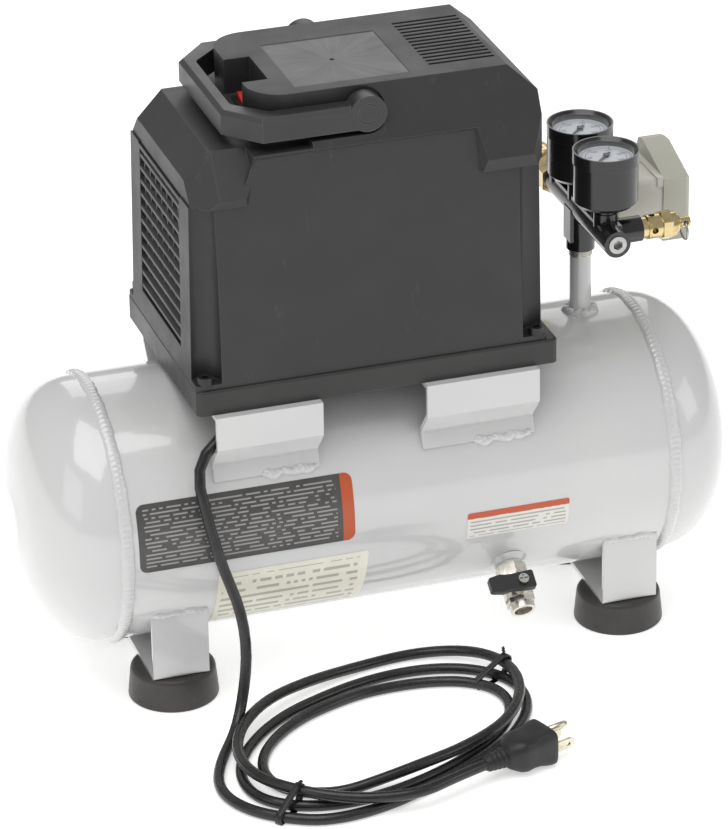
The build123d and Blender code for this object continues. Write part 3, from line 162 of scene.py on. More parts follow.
def plain(name, color, rough, grain, depth, metal=0.0, coat=0.0, coat_rough=0.05, specular=0.5,
          tone=0.08, tone_scale=18.0, rough_spread=0.08, bevel=0.0004, wear_and_edge_sheen=0.0, wear_and_edge_sheen_color=None):
    """A moulded, painted or metal surface: drifting tone, uneven gloss, fine grain,
    softened edges, and paler sharp edges that are partly wear and partly a painted highlight."""
    s = Shader(name, rough, metal, coat, coat_rough, specular)
    dark = scaled(color, 1 - tone)
    light = tuple(min(1.0, c * (1 + tone)) for c in color[:3]) + (1.0,)
    tinted = s.mix(s.spread(s.noise(tone_scale, 4.0, 0.6), 0.0, 1.0), dark, light)
    # paler sharp edges: partly real wear, partly a painted highlight standing in for light caught by
    # rounded edges
    if wear_and_edge_sheen:
        edge = s.math("MULTIPLY", s.edges(bevel * 2.0), wear_and_edge_sheen)
        tinted = s.mix(edge, tinted, wear_and_edge_sheen_color or light)
    s.set("Base Color", tinted)
    s.set("Roughness", s.spread(s.noise(SMUDGE_SCALE, 5.0, 0.62),
    rough - rough_spread, rough + rough_spread))
    s.bump(s.noise(grain, 2.0, 0.6), depth, s.bevel(bevel))
    return s


def make_enamel():
    """Thick glossy white paint over steel: faint orange peel and a very even tone."""
    s = Shader("tank_enamel", 0.2, coat=1.0, coat_rough=0.03)
    drift = s.spread(s.noise(7.0, 3.0, 0.6), 0.0, 1.0)
    s.set("Base Color", s.mix(drift, srgb(206, 207, 207), srgb(214, 214, 213)))
    s.set("Roughness", s.spread(s.noise(30.0, 4.0, 0.6), 0.16, 0.26))
    peel = s.math("ADD", s.noise(300.0, 2.0, 0.5), s.math("MULTIPLY", s.noise(34.0, 2.0, 0.5), 2.0))
    s.bump(peel, 0.00005, s.bevel(0.0006))
    return s


def make_hood_plastic(name, base, deck):
    """Dark textured plastic, with smoother flow marks that fan out from the gate on the deck."""
    s = Shader(name, 0.48, specular=0.5)
    split = s.node("ShaderNodeSeparateXYZ", {"Vector": s.coords})
    x = s.math("SUBTRACT", split.outputs["X"], at(*GATE, 0).x)
    y = s.math("SUBTRACT", split.outputs["Y"], at(*GATE, 0).y)
    angle = s.math("ARCTAN2", y, x)
    reach = s.math("SQRT", s.math("ADD", s.math("MULTIPLY", x, x), s.math("MULTIPLY", y, y)))
    polar = s.node("ShaderNodeCombineXYZ", {
        "X": s.math("MULTIPLY", s.math("SINE", angle), RAY_RING),
        "Y": s.math("MULTIPLY", s.math("COSINE", angle), RAY_RING),
        "Z": s.math("MULTIPLY", reach, RAY_LENGTH),
    }).outputs[0]
    ray_inputs = {"Vector": polar, "Scale": 2.6, "Detail": 5.0, "Roughness": 0.62}
    rays = s.node("ShaderNodeTexNoise", ray_inputs).outputs["Fac"]
    on_deck = s.math("GREATER_THAN", split.outputs["Z"], (DECK_Z - 2.0) * MM)
    for axis, (low, high) in (("X", PANEL_X), ("Y", PANEL_Y)):
        spot = split.outputs[axis]
        shift = 0.0 if axis == "X" else TANK_Y
        on_deck = s.math("MULTIPLY", on_deck, s.math("GREATER_THAN", spot, (low + shift) * MM))
        on_deck = s.math("MULTIPLY", on_deck, s.math("LESS_THAN", spot, (high + shift) * MM))
    drift = s.mix(s.spread(s.noise(12.0, 5.0, 0.65), 0.0, 1.0), scaled(base, 0.9), scaled(base, 1.1))
    marks = s.mix(s.spread(rays, 0.0, 1.0, 0.35, 0.68), scaled(deck, 0.8), scaled(deck, 1.25))
    body = s.mix(on_deck, drift, marks)
    streaks = s.noise(70.0, 6.0, 0.75, stretch=(1.0, 1.0, 0.35))
    scuff = s.math("MULTIPLY", s.spread(streaks, 0.0, 1.0, 0.62, 0.74), 0.18)
    body = s.mix(scuff, body, srgb(120))
    # painted highlight: sharp edges are made paler, standing in for light caught by the rounded edges
    edge = s.math("MULTIPLY", s.edges(0.0007), 0.4)
    s.set("Base Color", s.mix(edge, body, srgb(132)))
    uneven = s.spread(s.noise(26.0, 5.0, 0.65), 0.4, 0.54)
    s.set("Roughness", s.math("ADD", uneven, s.math("MULTIPLY", on_deck, -0.08)))
    grain = s.bump(s.noise(1500.0, 2.0, 0.7), 0.00004, s.bevel(0.0007))
    s.bump(s.noise(16.0, 2.0, 0.5), 0.0006, grain, 0.5)
    return s


def make_brass(name, color, rough):
    """Bright turned brass: fine turning lines, finger marks and a little tarnish in patches."""
    s = Shader(name, rough, 1.0)
    tarnish = s.spread(s.noise(95.0, 5.0, 0.7), 0.0, 1.0, 0.45, 0.75)
    s.set("Base Color", s.mix(tarnish, color, scaled(color, 0.62)))
    s.set("Roughness", s.spread(s.noise(140.0, 4.0, 0.6), rough - 0.07, rough + 0.12))
    s.bump(s.noise(900.0, 1.0, 0.5, stretch=(1.0, 0.18, 0.18)), 0.00003, s.bevel(0.0003))
    return s


def make_cord_rubber(name, rough):
    s = Shader(name, rough, specular=0.5)
    s.set("Base Color", s.mix(s.spread(s.noise(45.0, 4.0, 0.6), 0.0, 1.0), srgb(26, 26, 27),
    srgb(44, 43, 44)))
    s.set("Roughness", s.spread(s.noise(120.0, 4.0, 0.65), rough - 0.08, rough + 0.14))
    s.bump(s.math("ADD", s.noise(520.0, 3.0, 0.6), s.math("MULTIPLY", s.noise(60.0, 2.0, 0.5), 1.5)),
    0.00007)
    return s


def make_label(name, paper, ink, strip, rows, columns, strip_from, block_width):
    """A printed vinyl label without lettering: rows of broken bars,
    and a coloured strip past strip_from."""
    s = Shader(name, 0.34, coat=0.25, coat_rough=0.2)
    split = s.node("ShaderNodeSeparateXYZ", {"Vector": s.node("ShaderNodeUVMap",
    uv_map="label").outputs["UV"]})
    u, v = split.outputs["X"], split.outputs["Y"]
    row = s.math("MULTIPLY", v, rows)
    row_index = s.math("FLOOR", row)
    in_row = s.math("FRACT", row)
    line = s.math("MULTIPLY", s.math("GREATER_THAN", in_row, 0.34), s.math("LESS_THAN", in_row, 0.72))
    cell = s.math("FLOOR", s.math("ADD", s.math("MULTIPLY", u, columns),
    s.math("MULTIPLY", row_index, 7.3)))
    cell_spot = s.node("ShaderNodeCombineXYZ", {"X": cell, "Y": row_index}).outputs[0]
    white = s.node("ShaderNodeTexWhiteNoise", {"Vector": cell_spot}, noise_dimensions="2D")
    dice = white.outputs["Value"]
    printed = s.math("MULTIPLY", line, s.math("GREATER_THAN", dice, 0.24))
    margin = s.math("MULTIPLY", s.math("GREATER_THAN", u, 0.03), s.math("LESS_THAN", u, block_width))
    edge = s.math("MULTIPLY", s.math("GREATER_THAN", v, 0.07), s.math("LESS_THAN", v, 0.93))
    printed = s.math("MULTIPLY", printed, s.math("MULTIPLY", margin, edge))
    body = s.mix(s.math("MULTIPLY", printed, 0.72), paper, ink)
    age = s.math("MULTIPLY", s.spread(s.noise(60.0, 5.0, 0.7), 0.0, 1.0), 0.12)
    aged = s.mix(age, body, srgb(150, 146, 138))
    s.set("Base Color", s.mix(strip_from(s, u, v), aged, strip))
    s.set("Roughness", s.spread(s.noise(80.0, 4.0, 0.6), 0.28, 0.44))
    s.bump(s.noise(260.0, 3.0, 0.6), 0.00003)
    return s


ENAMEL = make_enamel()
HOUSING = make_hood_plastic("housing_plastic", srgb(45, 45, 46), srgb(75, 75, 76))
HANDLE = plain(
    "handle_plastic", srgb(47, 47, 48), 0.38, 1300.0, 0.00004, tone=0.12, wear_and_edge_sheen=0.4,
    wear_and_edge_sheen_color=srgb(120), bevel=0.0008,
)
TRAY = plain(
    "tray_paint", srgb(43, 43, 42), 0.4, 1100.0, 0.00005, tone=0.12, wear_and_edge_sheen=0.35,
    wear_and_edge_sheen_color=srgb(120), bevel=0.0006,
)
RUBBER = plain(
    "foot_rubber", srgb(62, 60, 58), 0.36, 800.0, 0.00008, tone=0.2, tone_scale=70.0,
    rough_spread=0.12, specular=0.4, bevel=0.0006,
)
ZINC = plain(
    "zinc_steel", srgb(176, 176, 174), 0.3, 700.0, 0.00004, metal=1.0, tone=0.14, tone_scale=150.0,
    rough_spread=0.12,
)
MANIFOLD = plain(
    "manifold_paint", srgb(24, 23, 25), 0.2, 260.0, 0.00008, coat=0.5, coat_rough=0.08, tone=0.2,
    wear_and_edge_sheen=0.25, wear_and_edge_sheen_color=srgb(70),
)
GAUGE_BLACK = plain(
    "gauge_black", srgb(30, 30, 31), 0.22, 420.0, 0.00003, coat=0.35, coat_rough=0.12, tone=0.15,
    bevel=0.0005, wear_and_edge_sheen=0.3, wear_and_edge_sheen_color=srgb(96),
)
DIAL = plain("dial_white", srgb(226, 230, 238), 0.5, 500.0, 0.00001, tone=0.03, tone_scale=90.0)
NEEDLE = plain("needle_black", srgb(20, 20, 20), 0.35, 500.0, 0.00001, bevel=0.0001)
PRINT = plain("dial_print", srgb(44, 46, 58), 0.5, 500.0, 0.00001, bevel=0.00005)
BRASS = make_brass("brass", (0.72, 0.58, 0.31, 1.0), 0.18)
NICKEL = make_brass("nickel", (0.72, 0.69, 0.62, 1.0), 0.24)
BLADE = make_brass("blade_brass", (0.76, 0.71, 0.57, 1.0), 0.2)
SWITCH_BASE = plain(
    "switch_base_beige", srgb(196, 194, 184), 0.42, 700.0, 0.00003, tone=0.06, bevel=0.0005,
    wear_and_edge_sheen=0.3, wear_and_edge_sheen_color=srgb(224, 222, 214),
)
SWITCH_COVER = plain(
    "switch_cover_beige", srgb(178, 177, 164), 0.45, 700.0, 0.00004, tone=0.06, bevel=0.0006,
    wear_and_edge_sheen=0.4, wear_and_edge_sheen_color=srgb(206, 203, 194),
)
LEVER = plain(
    "lever_black", srgb(30, 30, 31), 0.38, 500.0, 0.00005, tone=0.15, bevel=0.0005, wear_and_edge_sheen=0.3,
    wear_and_edge_sheen_color=srgb(90),
)
RED = plain("switch_red", srgb(196, 24, 16), 0.25, 500.0, 0.00002, coat=0.4, tone=0.08)
BLACK_TRIM = plain("switch_black", srgb(30, 30, 31), 0.4, 900.0, 0.00004, tone=0.1)
IRON = plain("motor_iron", srgb(110, 110, 112), 0.5, 500.0, 0.00006, metal=0.9, tone=0.2, tone_scale=120.0)
CAST = plain(
    "pump_aluminium", srgb(168, 170, 172), 0.45, 400.0, 0.00012, metal=0.9, tone=0.1,
    tone_scale=120.0,
)
FAN = plain("fan_plastic", srgb(48, 48, 49), 0.5, 900.0, 0.00004, tone=0.1)
CORD = make_cord_rubber("cord_rubber", 0.22)
PLUG = make_cord_rubber("plug_rubber", 0.42)
TIE = plain("tie_plastic", srgb(34, 34, 35), 0.35, 500.0, 0.00004, bevel=0.0003)


def make_lens():
    s = Shader("gauge_lens", 0.04, coat=1.0, coat_rough=0.02)
    s.set("Base Color", s.mix(s.spread(s.noise(30.0), 0.0, 1.0), srgb(60, 62, 66), srgb(76, 78, 82)))
    s.set("Alpha", 0.1)
    s.bump(s.noise(60.0, 2.0), 0.00002)
    return s


LENS = make_lens()
FINISH = {
    "tank_enamel": ENAMEL, "foot_rubber": RUBBER, "zinc_steel": ZINC, "tray_paint": TRAY,
    "housing_plastic": HOUSING,
    "handle_plastic": HANDLE, "switch_black": BLACK_TRIM, "switch_red": RED, "manifold_paint": MANIFOLD,
    "gauge_black": GAUGE_BLACK, "dial_white": DIAL, "needle_black": NEEDLE, "gauge_lens": LENS,
    "brass": BRASS,
    "switch_base_beige": SWITCH_BASE, "switch_cover_beige": SWITCH_COVER, "nickel": NICKEL,
    "lever_black": LEVER,
    "motor_iron": IRON, "fan_plastic": FAN, "pump_aluminium": CAST, "cord_rubber": CORD, "tie_plastic": TIE,
}
slot_of = {row["node"]: row["material_slot"] for row in frame["record"]["subparts"]}
BY_NODE = {"housing_screws": LEVER, "plug_blades": BLADE}
for name, cad in nodes.items():
    finish = BY_NODE.get(name, FINISH[slot_of[name]]).material
    if len(cad.data.materials) == 0:
        cad.data.materials.append(finish)
    for index in range(len(cad.data.materials)):
        cad.data.materials[index] = finish


# ---------------------------------------------------------------- mesh helpers
def piece(name, mesh, shader, body="frame"):
    """Link a mesh as a named piece that rides on a body."""
    made = bpy.data.objects.new(name, mesh)
    bpy.context.scene.collection.objects.link(made)
    mesh.materials.append(shader.material)
    for polygon in mesh.polygons:
        polygon.use_smooth = True
    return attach(made, body)


def grid_mesh(name, rows, wrap_rows=False, wrap_columns=False, caps=False):
    """A mesh from rows of points, each row as long as the next."""
    mesh = bpy.data.meshes.new(name)
    count = len(rows[0])
    points = [p for row in rows for p in row]
    faces = []
    for i in range(len(rows) if wrap_rows else len(rows) - 1):
        for j in range(count if wrap_columns else count - 1):
            i2, j2 = (i + 1) % len(rows), (j + 1) % count
            faces.append((i * count + j, i * count + j2, i2 * count + j2, i2 * count + j))
    if caps:
        faces.append(tuple(range(count - 1, -1, -1)))
        faces.append(tuple((len(rows) - 1) * count + j for j in range(count)))
    mesh.from_pydata(points, [], faces)
    mesh.update()
    return mesh


def bead_rows(path, out, width, height, pitch, sunk=0.6, ragged=0.12, closed=False):
    """Cross rows of a weld bead along a path: a low dome with crescent ripples."""
    rows = []
    travelled = 0.0
    last = len(path) - 1
    for i, here in enumerate(path):
        before = path[i - 1] if (i or closed) else here
        after = path[(i + 1) % len(path)] if (i < last or closed) else here
        along = (after - before).normalized()
        up = out(here)
        side = along.cross(up).normalized()
        if i:
            travelled += (here - path[i - 1]).length / MM
        swell = 1.0 + ragged * math.sin(travelled * 0.31) + 0.6 * ragged * math.sin(travelled * 0.83 + 1.2)
        end_fade = 1.0 if closed else min(1.0, 0.35 + min(i, last - i) / 6.0)
        row = []
        for k in range(13):
            u = -1.0 + k / 6.0
            dome = math.sqrt(max(0.0, 1.0 - u * u))
            ripple = 0.16 * math.sin(2 * math.pi * (travelled / pitch + 0.55 * u * u))
            rise = height * end_fade * (dome * (1.0 + ripple * dome)) - sunk * (1.0 - dome)
            row.append(here + side * (u * width / 2 * swell * end_fade * MM) + up * (rise * MM))
        rows.append(row)
    return rows


def tank_out(point):
    """Outward direction of the tank's round side at a point."""
    centre = at(0, 0, TANK_Z)
    return Vector((0.0, point.y - centre.y, point.z - centre.z)).normalized()


def on_tank(x, degrees, lift=0.0):
    """Point on the tank's round side; 0 degrees faces the front and 90 is the top."""
    a = math.radians(degrees)
    return at(x, -(TANK_R + lift) * math.cos(a), TANK_Z + (TANK_R + lift) * math.sin(a))


# ---------------------------------------------------------------- welds
WELD_STEPS = 540
for side, x in (("left", -WELD_X), ("right", WELD_X)):
    ring = [on_tank(x, 360.0 * i / WELD_STEPS) for i in range(WELD_STEPS)]
    rows = bead_rows(ring, tank_out, 8.4, 2.0, 3.4, sunk=0.35, ragged=0.06, closed=True)
    name = f"girth_weld_{side}"
    weld = piece(name, grid_mesh(name, rows, wrap_rows=True), ENAMEL)
    if side == "left":
        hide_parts("girth_welds")

COLLAR_STEPS = 72
collar = []
for i in range(COLLAR_STEPS):
    a = 2 * math.pi * i / COLLAR_STEPS
    x, y = RISER[0] + (RISER_R + 1.4) * math.cos(a), RISER[1] + (RISER_R + 1.4) * math.sin(a)
    collar.append(at(x, y, TANK_Z + math.sqrt(TANK_R**2 - y**2) + 0.4))
rows = bead_rows(collar, lambda p: Vector((0, 0, 1)), 6.0, 3.0, 4.2, sunk=0.9, ragged=0.2, closed=True)
piece("riser_weld", grid_mesh("riser_weld", rows, wrap_rows=True), ENAMEL)


# short beads under the tray's brackets and along the tops of the feet's channels
LIP_DEGREES = 29.6
BRACKET_BEADS = (("left", -88.0, -52.5), ("right", 46.0, 84.5))
for where, x0, x1 in BRACKET_BEADS:
    for face_of, angle in (("front", LIP_DEGREES), ("back", 180.0 - LIP_DEGREES)):
        run = [on_tank(x0 + (x1 - x0) * i / 60, angle + 0.5 * math.sin(i * 0.35), 0.6) for i in range(61)]
        name = f"bracket_weld_{face_of}_{where}"
        rows = bead_rows(run, tank_out, 6.4, 2.6, 3.6, sunk=1.6, ragged=0.2)
        piece(name, grid_mesh(name, rows), ENAMEL)
FOOT_X, FOOT_HALF, CHANNEL_DEGREES = (-141.3, 150.0), 17.7, -32.6
for where, x in zip(("left", "right"), FOOT_X):
    for face_of, angle in (("front", CHANNEL_DEGREES), ("back", 180.0 - CHANNEL_DEGREES)):
        run = [on_tank(x + FOOT_HALF * (i / 20 - 1), angle + 0.4 * math.sin(i * 0.5),
        0.2) for i in range(41)]
        name = f"foot_weld_{face_of}_{where}"
        rows = bead_rows(run, tank_out, 5.0, 2.0, 3.4, sunk=1.2, ragged=0.18)
        piece(name, grid_mesh(name, rows), ENAMEL)

# thread that shows between the riser and the manifold's post
THREAD_Z, THREAD_TURNS, THREAD_PITCH, THREAD_STEPS = 229.4, 4, 1.25, 48
THREAD_ROOT, THREAD_CREST = (RISER_R - 0.1) * MM, (RISER_R + 0.55) * MM
thread = []
for i in range(THREAD_TURNS * THREAD_STEPS + 1):
    a = 2 * math.pi * i / THREAD_STEPS
    spot = at(*RISER, THREAD_Z + THREAD_PITCH * i / THREAD_STEPS)
    out = Vector((math.cos(a), math.sin(a), 0.0))
    half = Vector((0.0, 0.0, 0.55 * MM))
    root = spot + out * THREAD_ROOT
    thread.append([root - half, spot + out * THREAD_CREST, root + half])
piece("riser_thread", grid_mesh("riser_thread", thread), NICKEL)


# ---------------------------------------------------------------- power cord
COIL_CENTRE = (-46.0, -148.0)
COIL_TILT = 30.0
COIL_HALF = (114.0, 72.0)
COIL_STEP = 20.0
COIL_FROM, COIL_TO = 160.0, 1300.0
COIL_LOW, COIL_HIGH = CORD_R, 11.6
COIL_WIDEN = 1.012  # the spline runs inside its control points
# turn angle and size of the loose turns, which fan out between the two ties
COIL_SIZES = (
    (140, 1.0), (180, 0.97), (200, 0.97), (222, 1.02), (236, 1.0), (252, 0.93), (266, 0.93), (285, 0.99),
    (305, 1.04),
    (325, 1.03), (345, 0.97), (365, 0.89), (390, 0.82), (412, 0.77), (439, 0.75), (461, 0.79),
    (500, 0.83), (540, 0.85),
    (580, 0.83), (620, 0.82), (640, 0.85), (660, 0.91), (680, 0.92), (700, 0.86), (720, 0.76),
    (740, 0.67), (761, 0.615),
    (797, 0.605), (830, 0.66), (867, 0.70), (900, 0.70), (930, 0.68), (959, 0.68), (975, 0.72),
    (991, 0.80), (1008, 0.9),
    (1023, 0.97),
    (1055, 0.98), (1074, 0.98), (1093, 1.03), (1111, 1.06), (1132, 1.02), (1153, 0.96), (1180, 0.95),
    (1197, 0.92),
    (1212, 0.88), (1222, 0.85), (1234, 0.82), (1252, 0.78), (1278, 0.78), (1303, 0.89), (1319, 1.05),
)
# turn angle and how far the cord is lifted there, from lying flat to crossing over another turn
COIL_LIFTS = ((160, 0.0), (940, 0.0), (985, 1.0), (1070, 1.0), (1110, 0.0), (1140, 0.0), (1178, 1.0),
    (1319, 1.0))


def between(table, angle):
    """Value of a table of (angle, value) pairs at an angle, eased between the pairs."""
    for (a0, v0), (a1, v1) in zip(table, table[1:]):
        if a0 <= angle <= a1:
            share = (angle - a0) / (a1 - a0)
            return v0 + (v1 - v0) * share
    return table[-1][1]


def coil_point(angle):
    size = between(COIL_SIZES, angle) * COIL_WIDEN
    u = COIL_HALF[0] * size * math.cos(math.radians(angle))
    v = COIL_HALF[1] * size * math.sin(math.radians(angle))
    tilt = math.radians(COIL_TILT)
    x = COIL_CENTRE[0] + u * math.cos(tilt) - v * math.sin(tilt)
    y = COIL_CENTRE[1] + u * math.sin(tilt) + v * math.cos(tilt)
    return (x, y, COIL_LOW + (COIL_HIGH - COIL_LOW) * between(COIL_LIFTS, angle))


CORD_LEAD = [
    CORD_EXIT,
    (-133.0, -72.0, 186.0),
    (-125.0, -92.0, 118.0),
    (-104.0, -93.0, 58.0),
    (-115.5, -106.5, CORD_R),
    (-143.0, -152.0, CORD_R),
]
coil_turns = int((COIL_TO - COIL_FROM) / COIL_STEP) + 1
CORD_COIL = [coil_point(COIL_FROM + COIL_STEP * i) for i in range(coil_turns)]
CORD_TAIL = [(-68.0, -231.0, 10.8), (-42.0, -234.5, 11.5), (-18.0, -224.5, 12.0), (3.0, -217.0, 12.0)]
cord_points = CORD_LEAD + CORD_COIL + CORD_TAIL
flex = bpy.data.curves.new("power_cord_flex", "CURVE")
flex.dimensions = "3D"
spline = flex.splines.new("NURBS")
spline.points.add(len(cord_points) - 1)
for point, place in zip(spline.points, cord_points):
    point.co = (*at(*place), 1.0)
spline.order_u = 3
spline.use_endpoint_u = True
flex.resolution_u = 6
flex.bevel_depth = CORD_R * MM
flex.bevel_resolution = 5
flex.use_fill_caps = True
flex.materials.append(CORD.material)
cord_piece = bpy.data.objects.new("power_cord_flex", flex)
bpy.context.scene.collection.objects.link(cord_piece)
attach(cord_piece, "frame")
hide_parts("power_cord", "cord_coil")

# black ties pulled tight round the turns that meet at two places
TIE_TURNS = ((200.0, (0, 1, 3)), (352.0, (0, 1, 2)))
TIE_W, TIE_T, TIE_DIRECTIONS, TIE_LOW = 4.2, 1.1, 56, 0.15
TWIST_ROWS, TWIST_STEP = 25, 0.42
for number, (angle, turns) in enumerate(TIE_TURNS):
    middles = [coil_point(angle + 360.0 * t) for t in turns]
    across = (Vector(middles[0][:2]) - Vector(COIL_CENTRE)).normalized()
    along = Vector((-across.y, across.x))
    spots = [((Vector(m[:2]) - Vector(COIL_CENTRE)).dot(across), m[2]) for m in middles]

    def tie_row(grow, shift):
        """Loop of points round the turns, grown off the cord and shifted along it."""
        row = []
        for i in range(TIE_DIRECTIONS):
            a = 2 * math.pi * i / TIE_DIRECTIONS
            c, z = max(spots, key=lambda spot: spot[0] * math.cos(a) + spot[1] * math.sin(a))
            reach = c + (CORD_R + grow) * math.cos(a)
            plan = Vector(COIL_CENTRE) + across * reach + along * shift
            row.append(at(plan.x, plan.y, max(TIE_LOW, z + (CORD_R + grow) * math.sin(a))))
        return row

    half = TIE_W / 2
    loops = [tie_row(0.1, -half), tie_row(0.1, half), tie_row(TIE_T, half), tie_row(TIE_T, -half)]
    name = f"cord_tie_{number}"
    piece(name, grid_mesh(name, loops, wrap_rows=True, wrap_columns=True), TIE)
    # the two ends twisted together
    top = max(spots, key=lambda spot: spot[1])
    twist = []
    for i in range(TWIST_ROWS):
        lift = 0.3 * i
        base = Vector(COIL_CENTRE) + across * (top[0] + 0.25 * lift) + along * (0.45 * lift)
        centre = at(base.x, base.y, top[1] + CORD_R + 0.2 + 0.55 * lift)
        ring = []
        for k in range(12):
            a = 2 * math.pi * k / 12
            wide, thin = (1.5, 0.7) if i < TWIST_ROWS - 1 else (1.0, 0.4)
            flat = Vector((wide * math.cos(a), thin * math.sin(a)))
            c, f = math.cos(TWIST_STEP * i), math.sin(TWIST_STEP * i)
            first, second = (flat.x * c - flat.y * f) * MM, (flat.x * f + flat.y * c) * MM
            tilted = Vector((-along.x * 0.6, -along.y * 0.6, 0.8))
            ring.append(centre + across.to_3d() * first + tilted * second)
        twist.append(ring)
    name = f"cord_tie_{number}_end"
    piece(name, grid_mesh(name, twist, wrap_columns=True, caps=True), TIE)
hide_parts("cord_ties")

# ---------------------------------------------------------------- plug
PLUG_START = at(3.0, -217.0, 12.0)
PLUG_TURN = math.radians(18.6)
PLUG_AXIS = Vector((math.cos(PLUG_TURN), math.sin(PLUG_TURN), 0.0))
PLUG_SIDE = Vector((-PLUG_AXIS.y, PLUG_AXIS.x, 0.0))
UP = Vector((0.0, 0.0, 1.0))


def plug_row(reach, wide, high, power, count=40):
    """One closed cross-section of the plug, a rounded box."""
    row = []
    for i in range(count):
        a = 2 * math.pi * i / count
        c, s = math.cos(a), math.sin(a)
        y = math.copysign(abs(c) ** (2 / power), c) * wide / 2
        z = math.copysign(abs(s) ** (2 / power), s) * high / 2
        row.append(PLUG_START + PLUG_AXIS * (reach * MM) + PLUG_SIDE * (y * MM) + UP * (z * MM))
    return row


relief = [(-1.0, 7.4), (0.0, 8.4)]
for rib in range(4):
    start = 1.0 + rib * 3.2
    girth = 10.2 + rib * 0.75
    relief += [(start, girth - 1.9), (start + 0.35, girth), (start + 1.9, girth),
    (start + 2.25, girth - 1.9)]
rows = [plug_row(reach, girth, girth, 2.0) for reach, girth in relief]
body_sections = (
    (13.8, 11.0, 11.0, 2.0), (14.2, 14.0, 13.4, 2.3), (15.4, 16.6, 15.4, 2.6), (17.6, 20.0, 17.8, 3.0),
    (20.5, 23.4, 20.4, 3.4),
    (24.0, 24.6, 21.4, 3.8), (29.0, 23.4, 20.6, 4.0), (34.0, 23.6, 20.8, 4.4), (39.0, 25.6, 22.6, 4.8),
    (42.0, 26.2, 23.2, 5.0),
    (44.2, 26.0, 23.0, 5.0), (44.9, 25.0, 22.0, 5.0), (45.0, 22.0, 19.0, 5.0),
)
rows += [plug_row(*section) for section in body_sections]
plug = piece("plug_moulding", grid_mesh("plug_moulding", rows, wrap_columns=True, caps=True),
    PLUG)
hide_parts("plug_body")


def outline_piece(name, splines, thick, matrix, shader, bevel=0.0, body="frame"):
    """A flat outline with holes, given thickness, as a mesh piece."""
    outline = bpy.data.curves.new(name, "CURVE")
    outline.dimensions = "2D"
    outline.fill_mode = "BOTH"
    outline.extrude = thick / 2 * MM
    outline.bevel_depth = bevel * MM
    for points in splines:
        loop = outline.splines.new("POLY")
        loop.points.add(len(points) - 1)
        for spot, (x, y) in zip(loop.points, points):
            spot.co = (x * MM, y * MM, 0.0, 1.0)
        loop.use_cyclic_u = True
    holder = bpy.data.objects.new(name + "_outline", outline)
    mesh = bpy.data.meshes.new_from_object(holder)
    bpy.data.objects.remove(holder)
    mesh.transform(matrix)
    made = piece(name, mesh, shader, body)
    for polygon in mesh.polygons:
        polygon.use_smooth = False
    return made


def circle(x, y, r, count=28):
    turns = [2 * math.pi * i / count for i in range(count)]
    return [(x + r * math.cos(a), y + r * math.sin(a)) for a in turns]


PRONG_LONG, PRONG_HIGH, PRONG_THICK = 17.0, 6.4, 1.5
PRONG_SIDE, PRONG_DROP, PIN_RISE = 6.35, -3.0, 6.5
face = PLUG_START + PLUG_AXIS * (44.5 * MM)
for side, offset in (("left", PRONG_SIDE), ("right", -PRONG_SIDE)):
    edge = PRONG_HIGH / 2
    shape = [
        (0, -edge), (PRONG_LONG - 2.4, -edge), (PRONG_LONG, -edge + 1.5),
        (PRONG_LONG, edge - 1.5), (PRONG_LONG - 2.4, edge), (0, edge),
    ]
    turn = Matrix((PLUG_AXIS, UP, PLUG_SIDE)).transposed().to_4x4()
    place = Matrix.Translation(face + PLUG_SIDE * (offset * MM) + UP * (PRONG_DROP * MM)) @ turn
    outlines = [shape, circle(12.4, 0, 1.6)]
    prong = outline_piece(f"plug_prong_{side}", outlines, PRONG_THICK, place, BLADE, 0.12)
pin_rows = []
for reach, r in ((0, 2.35), (13.2, 2.35), (15.0, 2.15), (16.3, 1.6), (17.0, 0.7)):
    centre = face + PLUG_AXIS * (reach * MM) + UP * (PIN_RISE * MM)
    around = [math.radians(a) for a in range(0, 360, 15)]
    pin_rows.append([centre + (PLUG_SIDE * math.cos(a) + UP * math.sin(a)) * (r * MM) for a in around])
pin = piece("plug_pin", grid_mesh("plug_pin", pin_rows, wrap_columns=True, caps=True), BLADE)
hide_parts("plug_blades")

# ---------------------------------------------------------------- labels on the tank
def tank_label(name, x0, x1, low, high, corner, shader, lift=0.16):
    """A thin rounded sheet on the tank's round side, with its own flat map for the print."""
    tall = math.radians(high - low) * TANK_R
    count_down, count_along = 30, 24
    rows = []
    for i in range(count_down + 1):
        share = 0.5 - 0.5 * math.cos(math.pi * i / count_down)
        depth = min(share, 1 - share) * tall
        inset = 0.0 if depth >= corner else corner - math.sqrt(max(0.0, corner**2 - (corner - depth) ** 2))
        wide, turned = x1 - x0 - 2 * inset, low + (high - low) * share
        along = [x0 + inset + wide * j / count_along for j in range(count_along + 1)]
        rows.append([on_tank(x, turned, lift) for x in along])
    mesh = grid_mesh(name, rows)
    flat = mesh.uv_layers.new(name="label")
    for loop in mesh.loops:
        point = mesh.vertices[loop.vertex_index].co
        turned = math.degrees(math.atan2(point.z - TANK_Z * MM, -(point.y - TANK_Y * MM)))
        flat.data[loop.index].uv = ((point.x / MM - x0) / (x1 - x0), (turned - low) / (high - low))
    return piece(name, mesh, shader)


def right_strip(s, u, v):
    return s.math("GREATER_THAN", u, 0.945)


def top_strip(s, u, v):
    return s.math("GREATER_THAN", v, 0.78)


